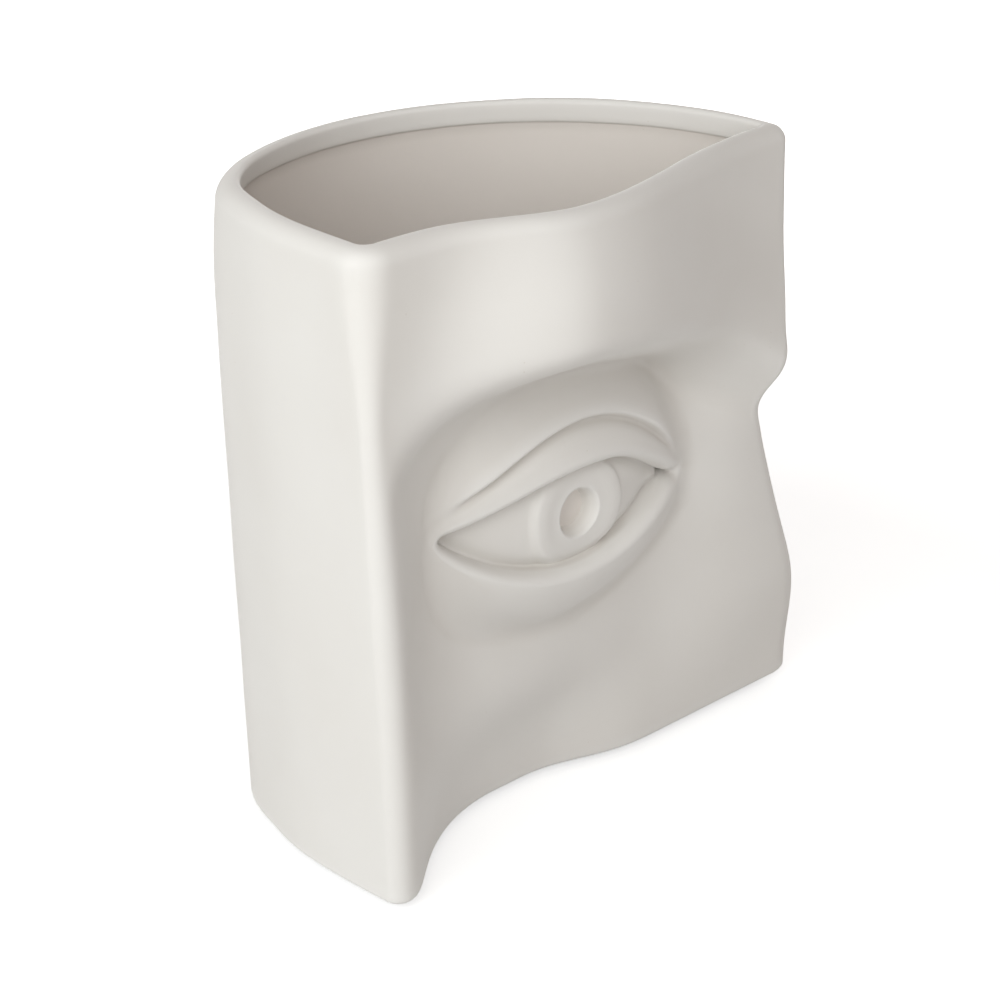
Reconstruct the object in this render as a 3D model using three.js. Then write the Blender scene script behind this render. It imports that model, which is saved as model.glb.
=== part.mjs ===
// Ceramic vase with a sculpted eye on its front wall, standing on four felt pads.
// Millimetres, +Z up. The eye looks towards -Y, with its inner corner at +X.
// The origin is under the middle of the vase, on the surface that it stands on.
import * as THREE from "three";
import { mergeVertices } from "three/addons/utils/BufferGeometryUtils.js";

// The vessel: x runs from the side wall's outer face, y from that wall's front edge and z from the base.
const bodyHeight = 186; // base to rim
const wallThickness = 5.5;
const floorThickness = 7;
const backRadius = 90; // round back wall, outside
const backCentreX = 66;
const backCentreY = 10;
const backCornerRadius = 52; // where the side wall turns into the back
const cornerEase = 2; // how far the side wall bends in where that corner starts
const cornerEaseStart = 11; // from the corner's start to the middle of that bend
const cornerEaseSpan = 13;
const sideBow = 3; // how far the side wall bends in at its front edge, at the foot
const sideBowReach = 60;
const sideEdgeRadius = 4.5; // the side wall's front edge
const rimEdgeRadius = 9; // the same edge, softened at the rim
const rimEdgeStart = 135; // height where it starts to soften
const noseEdgeRadius = 4.5; // the front wall's other edge, into the back wall
const footFlare = 25; // how far that edge swings out at the foot
const footFlareHeight = 125;
const footRadius = 2; // rounding under the walls
const lipOuterRadius = 4.8; // the lip is rounded outside and crisp inside
const lipInnerRadius = 1.5;
const rimDraw = 2.8; // how far the rim is drawn in at the back corner
const rimDrawHeight = 34;
const rimDrawAngle = 122; // degrees about the back wall's centre
const rimDrawSpread = 26;
const lipDepth = 6; // from the rim down to the step inside the mouth
const lipStepHeight = 1;
const cavityEdgeRadius = 2; // least radius of an upright corner
const cavityFloorRadius = 8; // between the cavity's walls and its floor
const cavityBlend = 16; // how softly the eyeball's inside runs into the face's

// The felt pads under the base
const padRadius = 7;
const padThickness = 2;
const padEdgeRadius = 0.5;
const padInset = 17; // from the outside of the walls to a pad's centre
const frontLeftPadSetback = 26; // behind the side wall's front edge
const backLeftPadAngle = 122; // degrees about the back wall's centre
const backRightPadAngle = 48;
const frontRightPadAngle = 17;

// The eye, in life-size millimetres on textbook proportions, enlarged by reliefScale
const reliefScale = 2.85;
const fissureWidth = 30; // corner to corner between the lids
const outerCornerRise = 1;
const innerCornerDrop = 1.4;
const upperLidArch = 5.1;
const lowerLidArch = 4.9;
const lidThickness = 2.3;
const lidMargin = 1.45; // width of the lids' rounded edge
const eyeballHalfWidth = 18;
const eyeballHalfHeight = 13;
const eyeballDepth = 12.2;
const irisRadius = 5.9;
const pupilRadius = 2.2;
const creaseAtCorners = 2.4; // from the upper lid's edge to its crease
const creaseAtMiddle = 4.4;
const grooveAtCorners = 3.6; // from the lower lid's edge to the groove above the cheek
const grooveAtMiddle = 8.2;

// The eye's place on the front wall, and the depths of its small forms there
const eyeX = 80;
const eyeZ = 90;
const eyeSetback = 9; // the eyeball's front, behind the side wall's front edge
const lidShellSpread = 8; // how far the lids' dome reaches past the eyeball
const lidBlend = 6; // how softly the lids run into the face
const creaseFold = 3; // how far the brow's skin hangs over the lid
const creaseBlend = 9;
const creaseDepth = 2.2;
const creaseWidth = 1.7;
const grooveDepth = 2.2;
const grooveWidth = 5.5;
const irisRise = 1.5;
const irisDish = 1.2; // the iris is hollowed towards the pupil
const irisDishWidth = 8;
const pupilDepth = 6;
const carvedEdge = 3; // width of the slopes of the iris and the pupil
const lidShadowDepth = 1.2; // the eyeball sinks this much where the lids lie on it
const lidShadowWidth = 2.2;
const cornerSink = 0.9; // the skin sinks this much beside the inner corner
const cornerSinkRadius = 4.5;
const tearCornerRise = 3;
const tearCornerRadius = 4;

// The broad forms round the eye, as heights in front of the side wall's front edge
const cheekSetback = 22;
const browPeakX = 57;
const browPeakZ = 155;
const browSag = 25; // how far the brow drops towards the nose
const browSagSpan = 85;
const browEnds = -2;
const browBulge = 21;
const browBulgeX = 64;
const browBulgeWidth = 54;
const underBrowHeight = 32;
const foreheadEnds = -4;
const foreheadBulge = 16;
const foreheadBulgeX = 70;
const foreheadBulgeWidth = 50;
const foreheadFall = 40; // height over which the brow falls back to the forehead
const browFold = { x: 50, z: 126, width: 27, height: 12, rise: 6 };
const innerHollow = { x: 119, z: 116, width: 17, height: 17, rise: -7 };
const cheekbone = { x: 62, z: 36, width: 38, height: 22, rise: 6 };
const tearTrough = { x: 108, z: 62, width: 22, height: 8, rise: -3, turn: 37 };
const noseSideStart = 106;
const noseSideRise = 10;
const noseSideTop = 134;
const noseSideFade = 46;
const footSetback = 26; // the plain line that the face runs out to at the foot
const footLineRise = 9;
const footLineStart = 70;
const footLineSpan = 45;
const footBlendHeight = 48;
const edgeFadeBesideEye = 44; // from the side wall's edge in to the full forms
const edgeFadeAtFoot = 57;
const edgeFadeAtBrow = 58;
const edgeFadeFootTop = 80;
const edgeFadeBrowStart = 115;
const edgeFadeBrowRise = 40;
const ridgeSoftness = 0.12; // how round the edge's ridge is, as a share of that fade

// How finely the surfaces are divided
const divisions = {
  frontColumns: 20,
  frontRows: 24,
  shellRings: 4,
  outerRings: 7,
  sideEdge: 3,
  side: 4,
  backCorner: 7,
  back: 14,
  noseEdge: 4,
  rounding: 3,
  cavityRows: 20,
  fissure: 120,
  pad: 24,
};

const mix = THREE.MathUtils.lerp;
const clamp = THREE.MathUtils.clamp;
const ease = (t) => THREE.MathUtils.smootherstep(t, 0, 1);
const swell = (distance, width) => Math.exp(-((distance / width) ** 2));
const life = (size) => size * reliefScale;

function smoothMax(a, b, blend) {
  const share = clamp(0.5 + (0.5 * (a - b)) / blend, 0, 1);
  return mix(b, a, share) + blend * share * (1 - share);
}

// A soft mound or hollow, turned in the front wall's plane where it says so
function mound(form, x, z) {
  const turn = THREE.MathUtils.degToRad(form.turn ?? 0);
  const along = (x - form.x) * Math.cos(turn) + (z - form.z) * Math.sin(turn);
  const across = (z - form.z) * Math.cos(turn) - (x - form.x) * Math.sin(turn);
  return form.rise * swell(along, form.width) * swell(across, form.height);
}

// The front wall's limits: its left one is where the side wall's rounded edge starts.
const frontRight = backCentreX + backRadius - noseEdgeRadius;
const lipThickness = lipOuterRadius + lipInnerRadius;
const frontTop = bodyHeight - lipOuterRadius;
const frontBottom = footRadius;

function frontLeft(z) {
  return mix(sideEdgeRadius, rimEdgeRadius, ease((z - rimEdgeStart) / (bodyHeight - rimEdgeStart)));
}

// The fissure is the almond between the lids.
const outerCorner = new THREE.Vector2(eyeX - life(fissureWidth) / 2, eyeZ + life(outerCornerRise));
const innerCorner = new THREE.Vector2(eyeX + life(fissureWidth) / 2, eyeZ - life(innerCornerDrop));
const alongEye = (x) => clamp((x - outerCorner.x) / (innerCorner.x - outerCorner.x), 0, 1);
const cornerLine = (x) => mix(outerCorner.y, innerCorner.y, alongEye(x));

// A lid's arch from the outer corner, 0, to the inner one, 1. Skew moves its peak, powers shape its ends.
function lidArch(t, skew, outerPower, innerPower) {
  return Math.max(Math.sin(Math.PI * t ** skew), 0) ** mix(outerPower, innerPower, t * t);
}

const upperLid = (x) => cornerLine(x) + life(upperLidArch) * lidArch(alongEye(x), 1.2, 0.8, 1.25);
const lowerLid = (x) => cornerLine(x) - life(lowerLidArch) * lidArch(alongEye(x), 0.82, 0.9, 1.25);

// A point on the fissure at an angle about the eye: 0 is the inner corner, and the upper lid is above 0.
function fissurePoint(angle) {
  const share = Math.abs(angle) / Math.PI;
  const x = eyeX + (life(fissureWidth) / 2) * mix(1 - 2 * share, Math.cos(angle), 0.5);
  return new THREE.Vector2(x, angle > 0 ? upperLid(x) : lowerLid(x));
}

const fissure = Array.from({ length: divisions.fissure }, (_, i) =>
  fissurePoint(Math.PI * ((2 * i) / divisions.fissure - 1)),
);

// Distance to the fissure's outline, below zero inside it
function fissureDistance(x, z) {
  let nearest = Infinity;
  fissure.forEach((start, i) => {
    const end = fissure[(i + 1) % fissure.length];
    const dx = end.x - start.x;
    const dz = end.y - start.y;
    const t = clamp(((x - start.x) * dx + (z - start.y) * dz) / (dx * dx + dz * dz), 0, 1);
    nearest = Math.min(nearest, Math.hypot(x - start.x - t * dx, z - start.y - t * dz));
  });
  const inside = x > outerCorner.x && x < innerCorner.x && z < upperLid(x) && z > lowerLid(x);
  return inside ? -nearest : nearest;
}

// Distances past the upper lid's crease and past the groove under the lower lid
const lidMiddle = (x) => Math.sin(Math.PI * alongEye(x));
const pastCrease = (x, distance) => distance - life(mix(creaseAtCorners, creaseAtMiddle, lidMiddle(x)));
const pastGroove = (x, distance) => distance - life(mix(grooveAtCorners, grooveAtMiddle, lidMiddle(x)));

// A run from 0 to 1 that starts quickly after a short rounding, so that the edge beside it stays a ridge
function quickRun(share) {
  const rounded = (t) => Math.hypot(t, ridgeSoftness) - ridgeSoftness;
  return 1 - (1 - rounded(clamp(share, 0, 1)) / rounded(1)) ** 2;
}

// Forehead, brow, cheek and nose side, running out into the side wall's edge and a plain foot
function face(x, z) {
  const browZ = browPeakZ - browSag * ((x - browPeakX) / browSagSpan) ** 2;
  const brow = browEnds + browBulge * swell(x - browBulgeX, browBulgeWidth);
  const forehead = foreheadEnds + foreheadBulge * swell(x - foreheadBulgeX, foreheadBulgeWidth);
  let height = mix(-cheekSetback, brow, ease((z - browZ) / underBrowHeight + 1));
  height += (forehead - brow) * ease((z - browZ) / foreheadFall);
  for (const form of [browFold, innerHollow, cheekbone, tearTrough]) height += mound(form, x, z);
  const noseSide = ease((x - noseSideStart) / (frontRight - noseSideStart));
  height += noseSideRise * noseSide * ease((noseSideTop - z) / noseSideFade);
  const footLine = footLineRise * ease((x - footLineStart) / footLineSpan) - footSetback;
  height = mix(height, footLine, ease(1 - z / footBlendHeight));
  const lowFade = mix(edgeFadeBesideEye, edgeFadeAtFoot, ease(1 - z / edgeFadeFootTop));
  const atBrow = ease((z - edgeFadeBrowStart) / edgeFadeBrowRise);
  const share = (x - frontLeft(z)) / mix(lowFade, edgeFadeAtBrow, atBrow);
  return height * mix(quickRun(share), ease(share), atBrow);
}

const centre = new THREE.Vector2(eyeX, eyeZ);
const shellHalfWidth = life(eyeballHalfWidth) + lidShellSpread;
const shellHalfHeight = life(eyeballHalfHeight) + lidShellSpread;

// The front of an ellipsoid larger than the eyeball by spread, falling away steeply past its outline
function dome(x, z, spread, front) {
  const across = (x - eyeX) / (life(eyeballHalfWidth) + spread);
  const up = (z - eyeZ) / (life(eyeballHalfHeight) + spread);
  const left = 1 - across * across - up * up;
  const depth = life(eyeballDepth) + spread / 2;
  return front - depth * (1 - Math.sqrt(Math.max(left, 0)) + Math.max(-left, 0));
}

// The face with the lids, the crease over the upper one and the groove under the lower one
function skin(x, z, distance) {
  const lids = dome(x, z, lidShellSpread, life(lidThickness) - eyeSetback);
  const ground = face(x, z);
  const lid = smoothMax(ground, lids, lidBlend);
  const t = alongEye(x);
  const crease = pastCrease(x, distance);
  const creaseSpan = ease((t + 0.05) / 0.22) * ease((1.03 - t) / 0.2);
  const fold = smoothMax(ground, lids + creaseFold, creaseBlend);
  const folded = mix(lid, fold, creaseSpan * ease((crease / creaseWidth + 0.6) / 2));
  const upper = folded - creaseDepth * creaseSpan * swell(crease, creaseWidth);
  const grooveSpan = ease(t / 0.35) * ease((1 - t) / 0.4);
  const lower = lid - grooveDepth * grooveSpan * swell(pastGroove(x, distance), grooveWidth);
  const beside = Math.hypot(x - innerCorner.x - cornerSinkRadius, z - innerCorner.y);
  const sunk = cornerSink * swell(beside, cornerSinkRadius);
  return mix(lower, upper, ease((z - cornerLine(x)) / 6 + 0.5)) - sunk;
}

// The eyeball with its carved iris, drilled pupil and tear corner
function eyeball(x, z) {
  const radius = Math.hypot(x - eyeX, z - eyeZ);
  const iris = life(irisRadius) - radius;
  const tearCorner = Math.hypot(x - innerCorner.x + tearCornerRadius, z - innerCorner.y);
  let height = dome(x, z, 0, -eyeSetback);
  height += irisRise * ease(iris / carvedEdge + 0.5);
  height -= irisDish * ease((iris - carvedEdge / 2) / irisDishWidth);
  height -= pupilDepth * ease((life(pupilRadius) - radius) / carvedEdge + 0.5);
  return height + tearCornerRise * swell(tearCorner, tearCornerRadius);
}

// The outside of the whole front wall
function frontHeight(x, z) {
  const distance = fissureDistance(x, z);
  const over = skin(x, z, distance);
  const under = Math.min(eyeball(x, z), over) - lidShadowDepth * swell(distance, lidShadowWidth);
  const turned = 1 - clamp(distance / life(lidMargin), 0, 1);
  return mix(under, over, Math.sqrt(1 - turned * turned));
}

// The inside of the front wall follows the face and the eyeball, but not the lids.
const innerForm = (x, z) => smoothMax(face(x, z), dome(x, z, 0, -eyeSetback), cavityBlend);

// Its depth: a wall's thickness behind that form, measured square to the form's slope
function cavityDepth(x, z) {
  const step = 1;
  const sideways = (innerForm(x + step, z) - innerForm(x - step, z)) / (2 * step);
  const upwards = (innerForm(x, z + step) - innerForm(x, z - step)) / (2 * step);
  return wallThickness * Math.hypot(1, sideways, upwards) - innerForm(x, z);
}

// The back corner is an arc that touches the side wall, from cornerY on, and the round back.
const cornerX = backCornerRadius;
const cornerReach = backRadius - backCornerRadius;
const cornerY = backCentreY + Math.sqrt(cornerReach ** 2 - (backCentreX - cornerX) ** 2);

// A point of the vessel, with its bends: the side wall bends in at the front of its foot and where the
// back corner starts, the rim is drawn in at that corner, and the nose edge swings out at the foot.
function place(x, y, z) {
  const forward = Math.max(0, cornerY - y) / cornerY;
  const bow = sideBow * forward ** 2 * ease(1 - z / bodyHeight);
  const eased = cornerEase * swell(y - cornerY - cornerEaseStart, cornerEaseSpan);
  const share = Math.max(0, x - backCentreX) / backRadius;
  const flare = footFlare * share ** 3 * ease(1 - z / footFlareHeight);
  const angle = Math.atan2(y - backCentreY, x - backCentreX);
  const turned = THREE.MathUtils.radToDeg(angle) - rimDrawAngle;
  const nearRim = Math.max(0, (z - bodyHeight) / rimDrawHeight + 1) ** 2;
  const drawn = rimDraw * nearRim * swell(turned, rimDrawSpread);
  const across = (bow + eased) * ease(1 - x / sideBowReach) + flare - drawn * Math.cos(angle);
  return new THREE.Vector3(x + across, y - drawn * Math.sin(angle), z);
}

// The front's right limit, at an inset from the outside of the walls
const rightLimit = (inset) => frontRight - inset;

// The side and back walls at one height, inset from their outside, from the front's left limit to its right
function wallOutline(z, inset, edgeRadius, leftDepth, rightDepth) {
  const cornerEnd = Math.atan2(cornerY - backCentreY, cornerX - backCentreX);
  const noseRadius = Math.max(noseEdgeRadius - inset, cavityEdgeRadius);
  const radius = backRadius - inset;
  const backEnd = Math.asin((rightDepth + noseRadius - backCentreY) / radius);
  const noseWidth = backCentreX + radius * Math.cos(backEnd) - rightLimit(inset);
  const outline = [];
  for (let i = 0; i < divisions.sideEdge; i++) {
    const angle = (i / divisions.sideEdge) * (Math.PI / 2);
    const y = leftDepth + edgeRadius * (1 - Math.cos(angle));
    outline.push(place(inset + edgeRadius * (1 - Math.sin(angle)), y, z));
  }
  for (let i = 0; i < divisions.side; i++) {
    outline.push(place(inset, mix(leftDepth + edgeRadius, cornerY, i / divisions.side), z));
  }
  for (let i = 0; i < divisions.backCorner; i++) {
    const angle = mix(Math.PI, cornerEnd, i / divisions.backCorner);
    const reach = backCornerRadius - inset;
    outline.push(place(cornerX + reach * Math.cos(angle), cornerY + reach * Math.sin(angle), z));
  }
  for (let i = 0; i < divisions.back; i++) {
    const angle = mix(cornerEnd, backEnd, i / divisions.back);
    outline.push(place(backCentreX + radius * Math.cos(angle), backCentreY + radius * Math.sin(angle), z));
  }
  for (let i = 0; i <= divisions.noseEdge; i++) {
    const angle = (i / divisions.noseEdge) * (Math.PI / 2);
    const y = rightDepth + noseRadius * (1 - Math.sin(angle));
    outline.push(place(rightLimit(inset) + noseWidth * Math.cos(angle), y, z));
  }
  return outline;
}

// A closed ring round the vessel: the walls, then the front from right to left at the given depth
function vesselRing(z, inset, frontDepth) {
  const edgeRadius = Math.max(frontLeft(z) - inset, cavityEdgeRadius);
  const left = inset + edgeRadius;
  const right = rightLimit(inset);
  const ring = wallOutline(z, inset, edgeRadius, frontDepth(left), frontDepth(right));
  for (let i = divisions.frontColumns - 1; i > 0; i--) {
    const x = mix(left, right, i / divisions.frontColumns);
    ring.push(place(x, frontDepth(x), z));
  }
  return ring;
}

// The triangles of one closed skin, added strip by strip with their faces outwards
class Skin {
  corners = [];

  // Rows run from the base's middle up the outside, over the lip and down to the cavity's floor.
  strips(rows, closed) {
    for (let j = 0; j + 1 < rows.length; j++) {
      const count = rows[j].length;
      for (let i = 0; i + (closed ? 0 : 1) < count; i++) {
        const next = (i + 1) % count;
        this.quad(rows[j][i], rows[j + 1][i], rows[j + 1][next], rows[j][next]);
      }
    }
  }

  // A quad is split along its shorter diagonal, so that it bends with the surface.
  quad(a, b, c, d) {
    if (a.distanceTo(c) < b.distanceTo(d)) this.corners.push(a, b, c, a, c, d);
    else this.corners.push(a, b, d, b, c, d);
  }

  fan(middle, ring) {
    ring.forEach((point, i) => this.corners.push(middle, point, ring[(i + 1) % ring.length]));
  }

  geometry() {
    const loose = new THREE.BufferGeometry().setFromPoints(this.corners);
    const merged = mergeVertices(loose, 1e-4);
    merged.computeVertexNormals();
    return merged;
  }
}

const onFront = (x, z) => place(x, -frontHeight(x, z), z);
const rowHeight = (i) => mix(frontBottom, frontTop, i / divisions.frontRows);

// The front wall's border, counter-clockwise as seen from the front, from its lower left corner
function frontBorder() {
  const { frontColumns, frontRows } = divisions;
  const border = [];
  const column = (i, z) => new THREE.Vector2(mix(frontLeft(z), frontRight, i / frontColumns), z);
  for (let i = 0; i < frontColumns; i++) border.push(column(i, frontBottom));
  for (let i = 0; i < frontRows; i++) border.push(column(frontColumns, rowHeight(i)));
  for (let i = frontColumns; i > 0; i--) border.push(column(i, frontTop));
  for (let i = frontRows; i > 0; i--) border.push(column(0, rowHeight(i)));
  return border;
}

// Each border point's angle about the eye. Two of them are moved on to the eye's own corners.
function borderAngles(border) {
  const halfWidth = (frontRight - sideEdgeRadius) / 2;
  const halfHeight = (frontTop - frontBottom) / 2;
  const angles = border.map(({ x, y }) => Math.atan2((y - eyeZ) / halfHeight, (x - eyeX) / halfWidth));
  for (const corner of [0, Math.PI]) {
    const gaps = angles.map((angle) => Math.abs(Math.abs(angle) - corner));
    angles[gaps.indexOf(Math.min(...gaps))] = corner;
  }
  return angles;
}

// How far out of a lid's edge its crease or groove lies, found by halving
function foldDistance(at, past) {
  let near = 0;
  let far = life(grooveAtMiddle) * 2;
  for (let i = 0; i < 24; i++) {
    const tried = (near + far) / 2;
    const point = at(tried);
    if (past(point.x, fissureDistance(point.x, point.y)) < 0) near = tried;
    else far = tried;
  }
  return near;
}

// The share of the way from one point to another at which an ellipse round the eye is crossed
function ellipseShare(start, end, halfWidth, halfHeight) {
  const halves = new THREE.Vector2(halfWidth, halfHeight);
  const from = start.clone().sub(centre).divide(halves);
  const run = end.clone().sub(start).divide(halves);
  const lean = from.dot(run);
  const room = lean ** 2 - run.lengthSq() * (from.lengthSq() - 1);
  return (Math.sqrt(Math.max(room, 0)) - lean) / run.lengthSq();
}

// The front wall in rings round the pupil, with edges along the pupil, iris, lids, folds and the lids' dome
function frontRings() {
  const border = frontBorder();
  const pupilEdge = life(pupilRadius) + carvedEdge / 2;
  const spokes = borderAngles(border).map((angle, k) => {
    const across = new THREE.Vector2(Math.cos(angle), Math.sin(angle));
    const hole = centre.clone().addScaledVector(across, pupilEdge);
    const lid = fissurePoint(angle);
    const outwards = new THREE.Vector2(across.x * lowerLidArch, (across.y * fissureWidth) / 2).normalize();
    const at = (distance) => lid.clone().addScaledVector(outwards, distance);
    const margin = life(lidMargin);
    // At the eye's corners, the rings of both lids draw together.
    const apart = ease(Math.min(Math.abs(angle), Math.PI - Math.abs(angle)) / 0.5);
    const spread = mix(margin, angle > 0 ? creaseWidth * 1.5 : grooveWidth, apart);
    const fold = mix(margin * 2, foldDistance(at, angle > 0 ? pastCrease : pastGroove), apart);
    const folds = [Math.max(fold - spread, margin + 0.5), Math.max(fold, margin + 1), fold + spread].map(at);
    const shell = clamp(ellipseShare(folds[2], border[k], shellHalfWidth, shellHalfHeight), 0.15, 0.8);
    return { across, hole, lid, margin: at(margin), folds, shell, border: border[k] };
  });
  // How far along a spoke, from the pupil to the lid, a circle lies, kept short of the lid
  const circle = ({ hole, lid }, radius, most) => Math.min(ellipseShare(hole, lid, radius, radius), most);
  const innerIris = (spoke) => circle(spoke, life(irisRadius) - carvedEdge / 2, 0.8);
  const outerIris = (spoke) => circle(spoke, life(irisRadius) + carvedEdge / 2, 0.88);
  const outside = (spoke, share) => spoke.folds[2].clone().lerp(spoke.border, share);
  const rings = [
    (spoke) => centre.clone().addScaledVector(spoke.across, pupilEdge - carvedEdge),
    (spoke) => spoke.hole,
    (spoke) => spoke.hole.clone().lerp(spoke.lid, innerIris(spoke)),
    (spoke) => spoke.hole.clone().lerp(spoke.lid, outerIris(spoke)),
    (spoke) => spoke.hole.clone().lerp(spoke.lid, mix(outerIris(spoke), 1, 0.5)),
    (spoke) => spoke.lid,
  ];
  for (const share of [0.12, 0.4, 1]) rings.push((spoke) => spoke.lid.clone().lerp(spoke.margin, share));
  for (const i of [0, 1, 2]) rings.push((spoke) => spoke.folds[i]);
  for (let i = 1; i <= divisions.shellRings; i++) {
    rings.push((spoke) => outside(spoke, (spoke.shell * i) / divisions.shellRings));
  }
  for (let i = 1; i <= divisions.outerRings; i++) {
    rings.push((spoke) => outside(spoke, mix(spoke.shell, 1, i / divisions.outerRings)));
  }
  return rings.map((point) => spokes.map((spoke) => onFront(...point(spoke))));
}

function bodyGeometry() {
  const body = new Skin();

  const front = frontRings();
  body.fan(onFront(eyeX, eyeZ), front[0]);
  body.strips(front, true);

  const walls = [];
  for (let i = 0; i <= divisions.frontRows; i++) {
    const z = rowHeight(i);
    const left = frontLeft(z);
    walls.push(wallOutline(z, 0, left, -frontHeight(left, z), -frontHeight(frontRight, z)));
  }
  body.strips(walls, false);

  // The base, with its rounded edge
  const quarter = (i) => (i / divisions.rounding) * (Math.PI / 2);
  const base = [];
  for (let i = 0; i <= divisions.rounding; i++) {
    const inset = footRadius * (1 - Math.sin(quarter(i)));
    const z = footRadius * (1 - Math.cos(quarter(i)));
    base.push(vesselRing(z, inset, (x) => inset - frontHeight(x, frontBottom)));
  }
  body.strips(base, true);

  // Over the lip, down to the step, and down the cavity to its floor
  const inside = [];
  const lipRing = (z, inset) => inside.push(vesselRing(z, inset, (x) => inset - frontHeight(x, frontTop)));
  for (let i = 0; i <= divisions.rounding; i++) {
    lipRing(frontTop + lipOuterRadius * Math.sin(quarter(i)), lipOuterRadius * (1 - Math.cos(quarter(i))));
  }
  for (let i = 1; i <= divisions.rounding; i++) {
    const z = bodyHeight - lipInnerRadius * (1 - Math.cos(quarter(i)));
    lipRing(z, lipOuterRadius + lipInnerRadius * Math.sin(quarter(i)));
  }
  const stepTop = bodyHeight - lipDepth;
  lipRing(stepTop, lipThickness);
  const cavityTop = stepTop - lipStepHeight;
  const cavityBottom = floorThickness + cavityFloorRadius;
  for (let i = 0; i <= divisions.cavityRows; i++) {
    const z = mix(cavityTop, cavityBottom, i / divisions.cavityRows);
    inside.push(vesselRing(z, wallThickness, (x) => cavityDepth(x, z)));
  }
  for (let i = 1; i <= divisions.rounding; i++) {
    const turnedIn = cavityFloorRadius * (1 - Math.cos(quarter(i)));
    const z = cavityBottom - cavityFloorRadius * Math.sin(quarter(i));
    inside.push(vesselRing(z, wallThickness + turnedIn, (x) => turnedIn + cavityDepth(x, cavityBottom)));
  }
  body.strips(inside, true);

  // Both flat areas fan out from a point that sees their whole outline.
  const capY = backCentreY + backRadius * 0.65;
  body.fan(place(backCentreX, capY, 0), base[0]);
  body.fan(place(backCentreX, capY, floorThickness), inside.at(-1).toReversed());
  return body.geometry();
}

function padGeometry() {
  const profile = [new THREE.Vector2(0, 0)];
  const corner = (x, y, from) => {
    for (let i = 0; i <= 2; i++) {
      const angle = from + (i * Math.PI) / 4;
      const reach = new THREE.Vector2(Math.cos(angle), Math.sin(angle)).multiplyScalar(padEdgeRadius);
      profile.push(reach.add(new THREE.Vector2(x, y)));
    }
  };
  corner(padRadius - padEdgeRadius, padEdgeRadius, -Math.PI / 2);
  corner(padRadius - padEdgeRadius, padThickness - padEdgeRadius, 0);
  profile.push(new THREE.Vector2(0, padThickness));
  return new THREE.LatheGeometry(profile, divisions.pad).rotateX(Math.PI / 2);
}

// A pad's centre under the base, at an angle about the back wall's centre
function backPadPlace(degrees) {
  const angle = THREE.MathUtils.degToRad(degrees);
  const reach = backRadius - padInset;
  return place(backCentreX + reach * Math.cos(angle), backCentreY + reach * Math.sin(angle), 0);
}

const padPlaces = {
  foot_pad_front_left: new THREE.Vector3(padInset, frontLeftPadSetback, 0),
  foot_pad_back_left: backPadPlace(backLeftPadAngle),
  foot_pad_back_right: backPadPlace(backRightPadAngle),
  foot_pad_front_right: backPadPlace(frontRightPadAngle),
};

const standing = new THREE.Group();
const ceramic = new THREE.MeshStandardMaterial({ color: 0xe8e5df, roughness: 0.6, metalness: 0 });
const body = new THREE.Mesh(bodyGeometry(), ceramic);
body.name = "vase_body";
standing.add(body);
for (const [name, point] of Object.entries(padPlaces)) {
  const felt = new THREE.MeshStandardMaterial({ color: 0x9a948c, roughness: 1, metalness: 0 });
  const pad = new THREE.Mesh(padGeometry(), felt);
  pad.name = name;
  pad.position.set(point.x, point.y, -padThickness);
  standing.add(pad);
}

// The pads stand on z = 0, with the origin under the middle of the vase.
const extent = new THREE.Box3().setFromObject(standing, true);
const middle = extent.getCenter(new THREE.Vector3());
standing.position.set(-middle.x, -middle.y, padThickness);

const vase = new THREE.Group();
vase.name = "vase";
vase.add(standing);

export default vase;
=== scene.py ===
# %% [markdown]
# # A ceramic vase with an eye in relief
# The vase is one hollow casting: a flat side wall, a round back wall and a front wall that carries
# a large eye. It stands on four felt pads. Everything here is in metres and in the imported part's
# frame: +Z is up, the eye looks towards -Y and the flat side wall faces -X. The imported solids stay
# where they are, and finer pieces are built in the same space and stand for them.

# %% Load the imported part
import math
from functools import partial

import bmesh
import bpy
import numpy as np
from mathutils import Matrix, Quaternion, Vector


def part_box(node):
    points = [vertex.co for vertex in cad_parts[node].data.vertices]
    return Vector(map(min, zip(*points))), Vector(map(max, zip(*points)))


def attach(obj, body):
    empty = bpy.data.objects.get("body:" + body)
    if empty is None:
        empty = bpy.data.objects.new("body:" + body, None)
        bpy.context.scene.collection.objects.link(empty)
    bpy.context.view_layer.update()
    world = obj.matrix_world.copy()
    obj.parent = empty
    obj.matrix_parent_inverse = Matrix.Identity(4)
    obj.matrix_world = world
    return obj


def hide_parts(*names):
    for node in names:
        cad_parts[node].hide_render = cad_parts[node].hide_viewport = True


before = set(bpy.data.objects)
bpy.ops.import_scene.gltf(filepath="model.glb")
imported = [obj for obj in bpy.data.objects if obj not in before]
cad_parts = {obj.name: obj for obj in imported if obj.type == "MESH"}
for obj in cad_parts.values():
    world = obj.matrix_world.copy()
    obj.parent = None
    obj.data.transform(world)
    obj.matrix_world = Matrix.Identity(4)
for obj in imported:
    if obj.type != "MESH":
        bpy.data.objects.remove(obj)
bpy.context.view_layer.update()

# %% [markdown]
# ## Measuring as the mould maker does
# The mould is drawn from its walls: x runs from the side wall's outer face, y from that wall's
# front edge and z from the base, all in millimetres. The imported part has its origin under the
# middle of the vase instead. The shift between the two could be typed in, but reading it off the
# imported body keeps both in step.

# %% The vessel's own frame
MM = 0.001
BODY_HEIGHT = 186.0
BACK_RADIUS = 90.0  # round back wall, outside
BACK_CENTRE_X = 66.0
BACK_CENTRE_Y = 10.0

body_low, body_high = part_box("vase_body")
vessel_origin = np.array([body_low.x, body_high.y - (BACK_CENTRE_Y + BACK_RADIUS) * MM, body_low.z])


def to_part(points):
    """Millimetres from the walls to metres in the part's frame."""
    return np.asarray(points, float) * MM + vessel_origin


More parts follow.
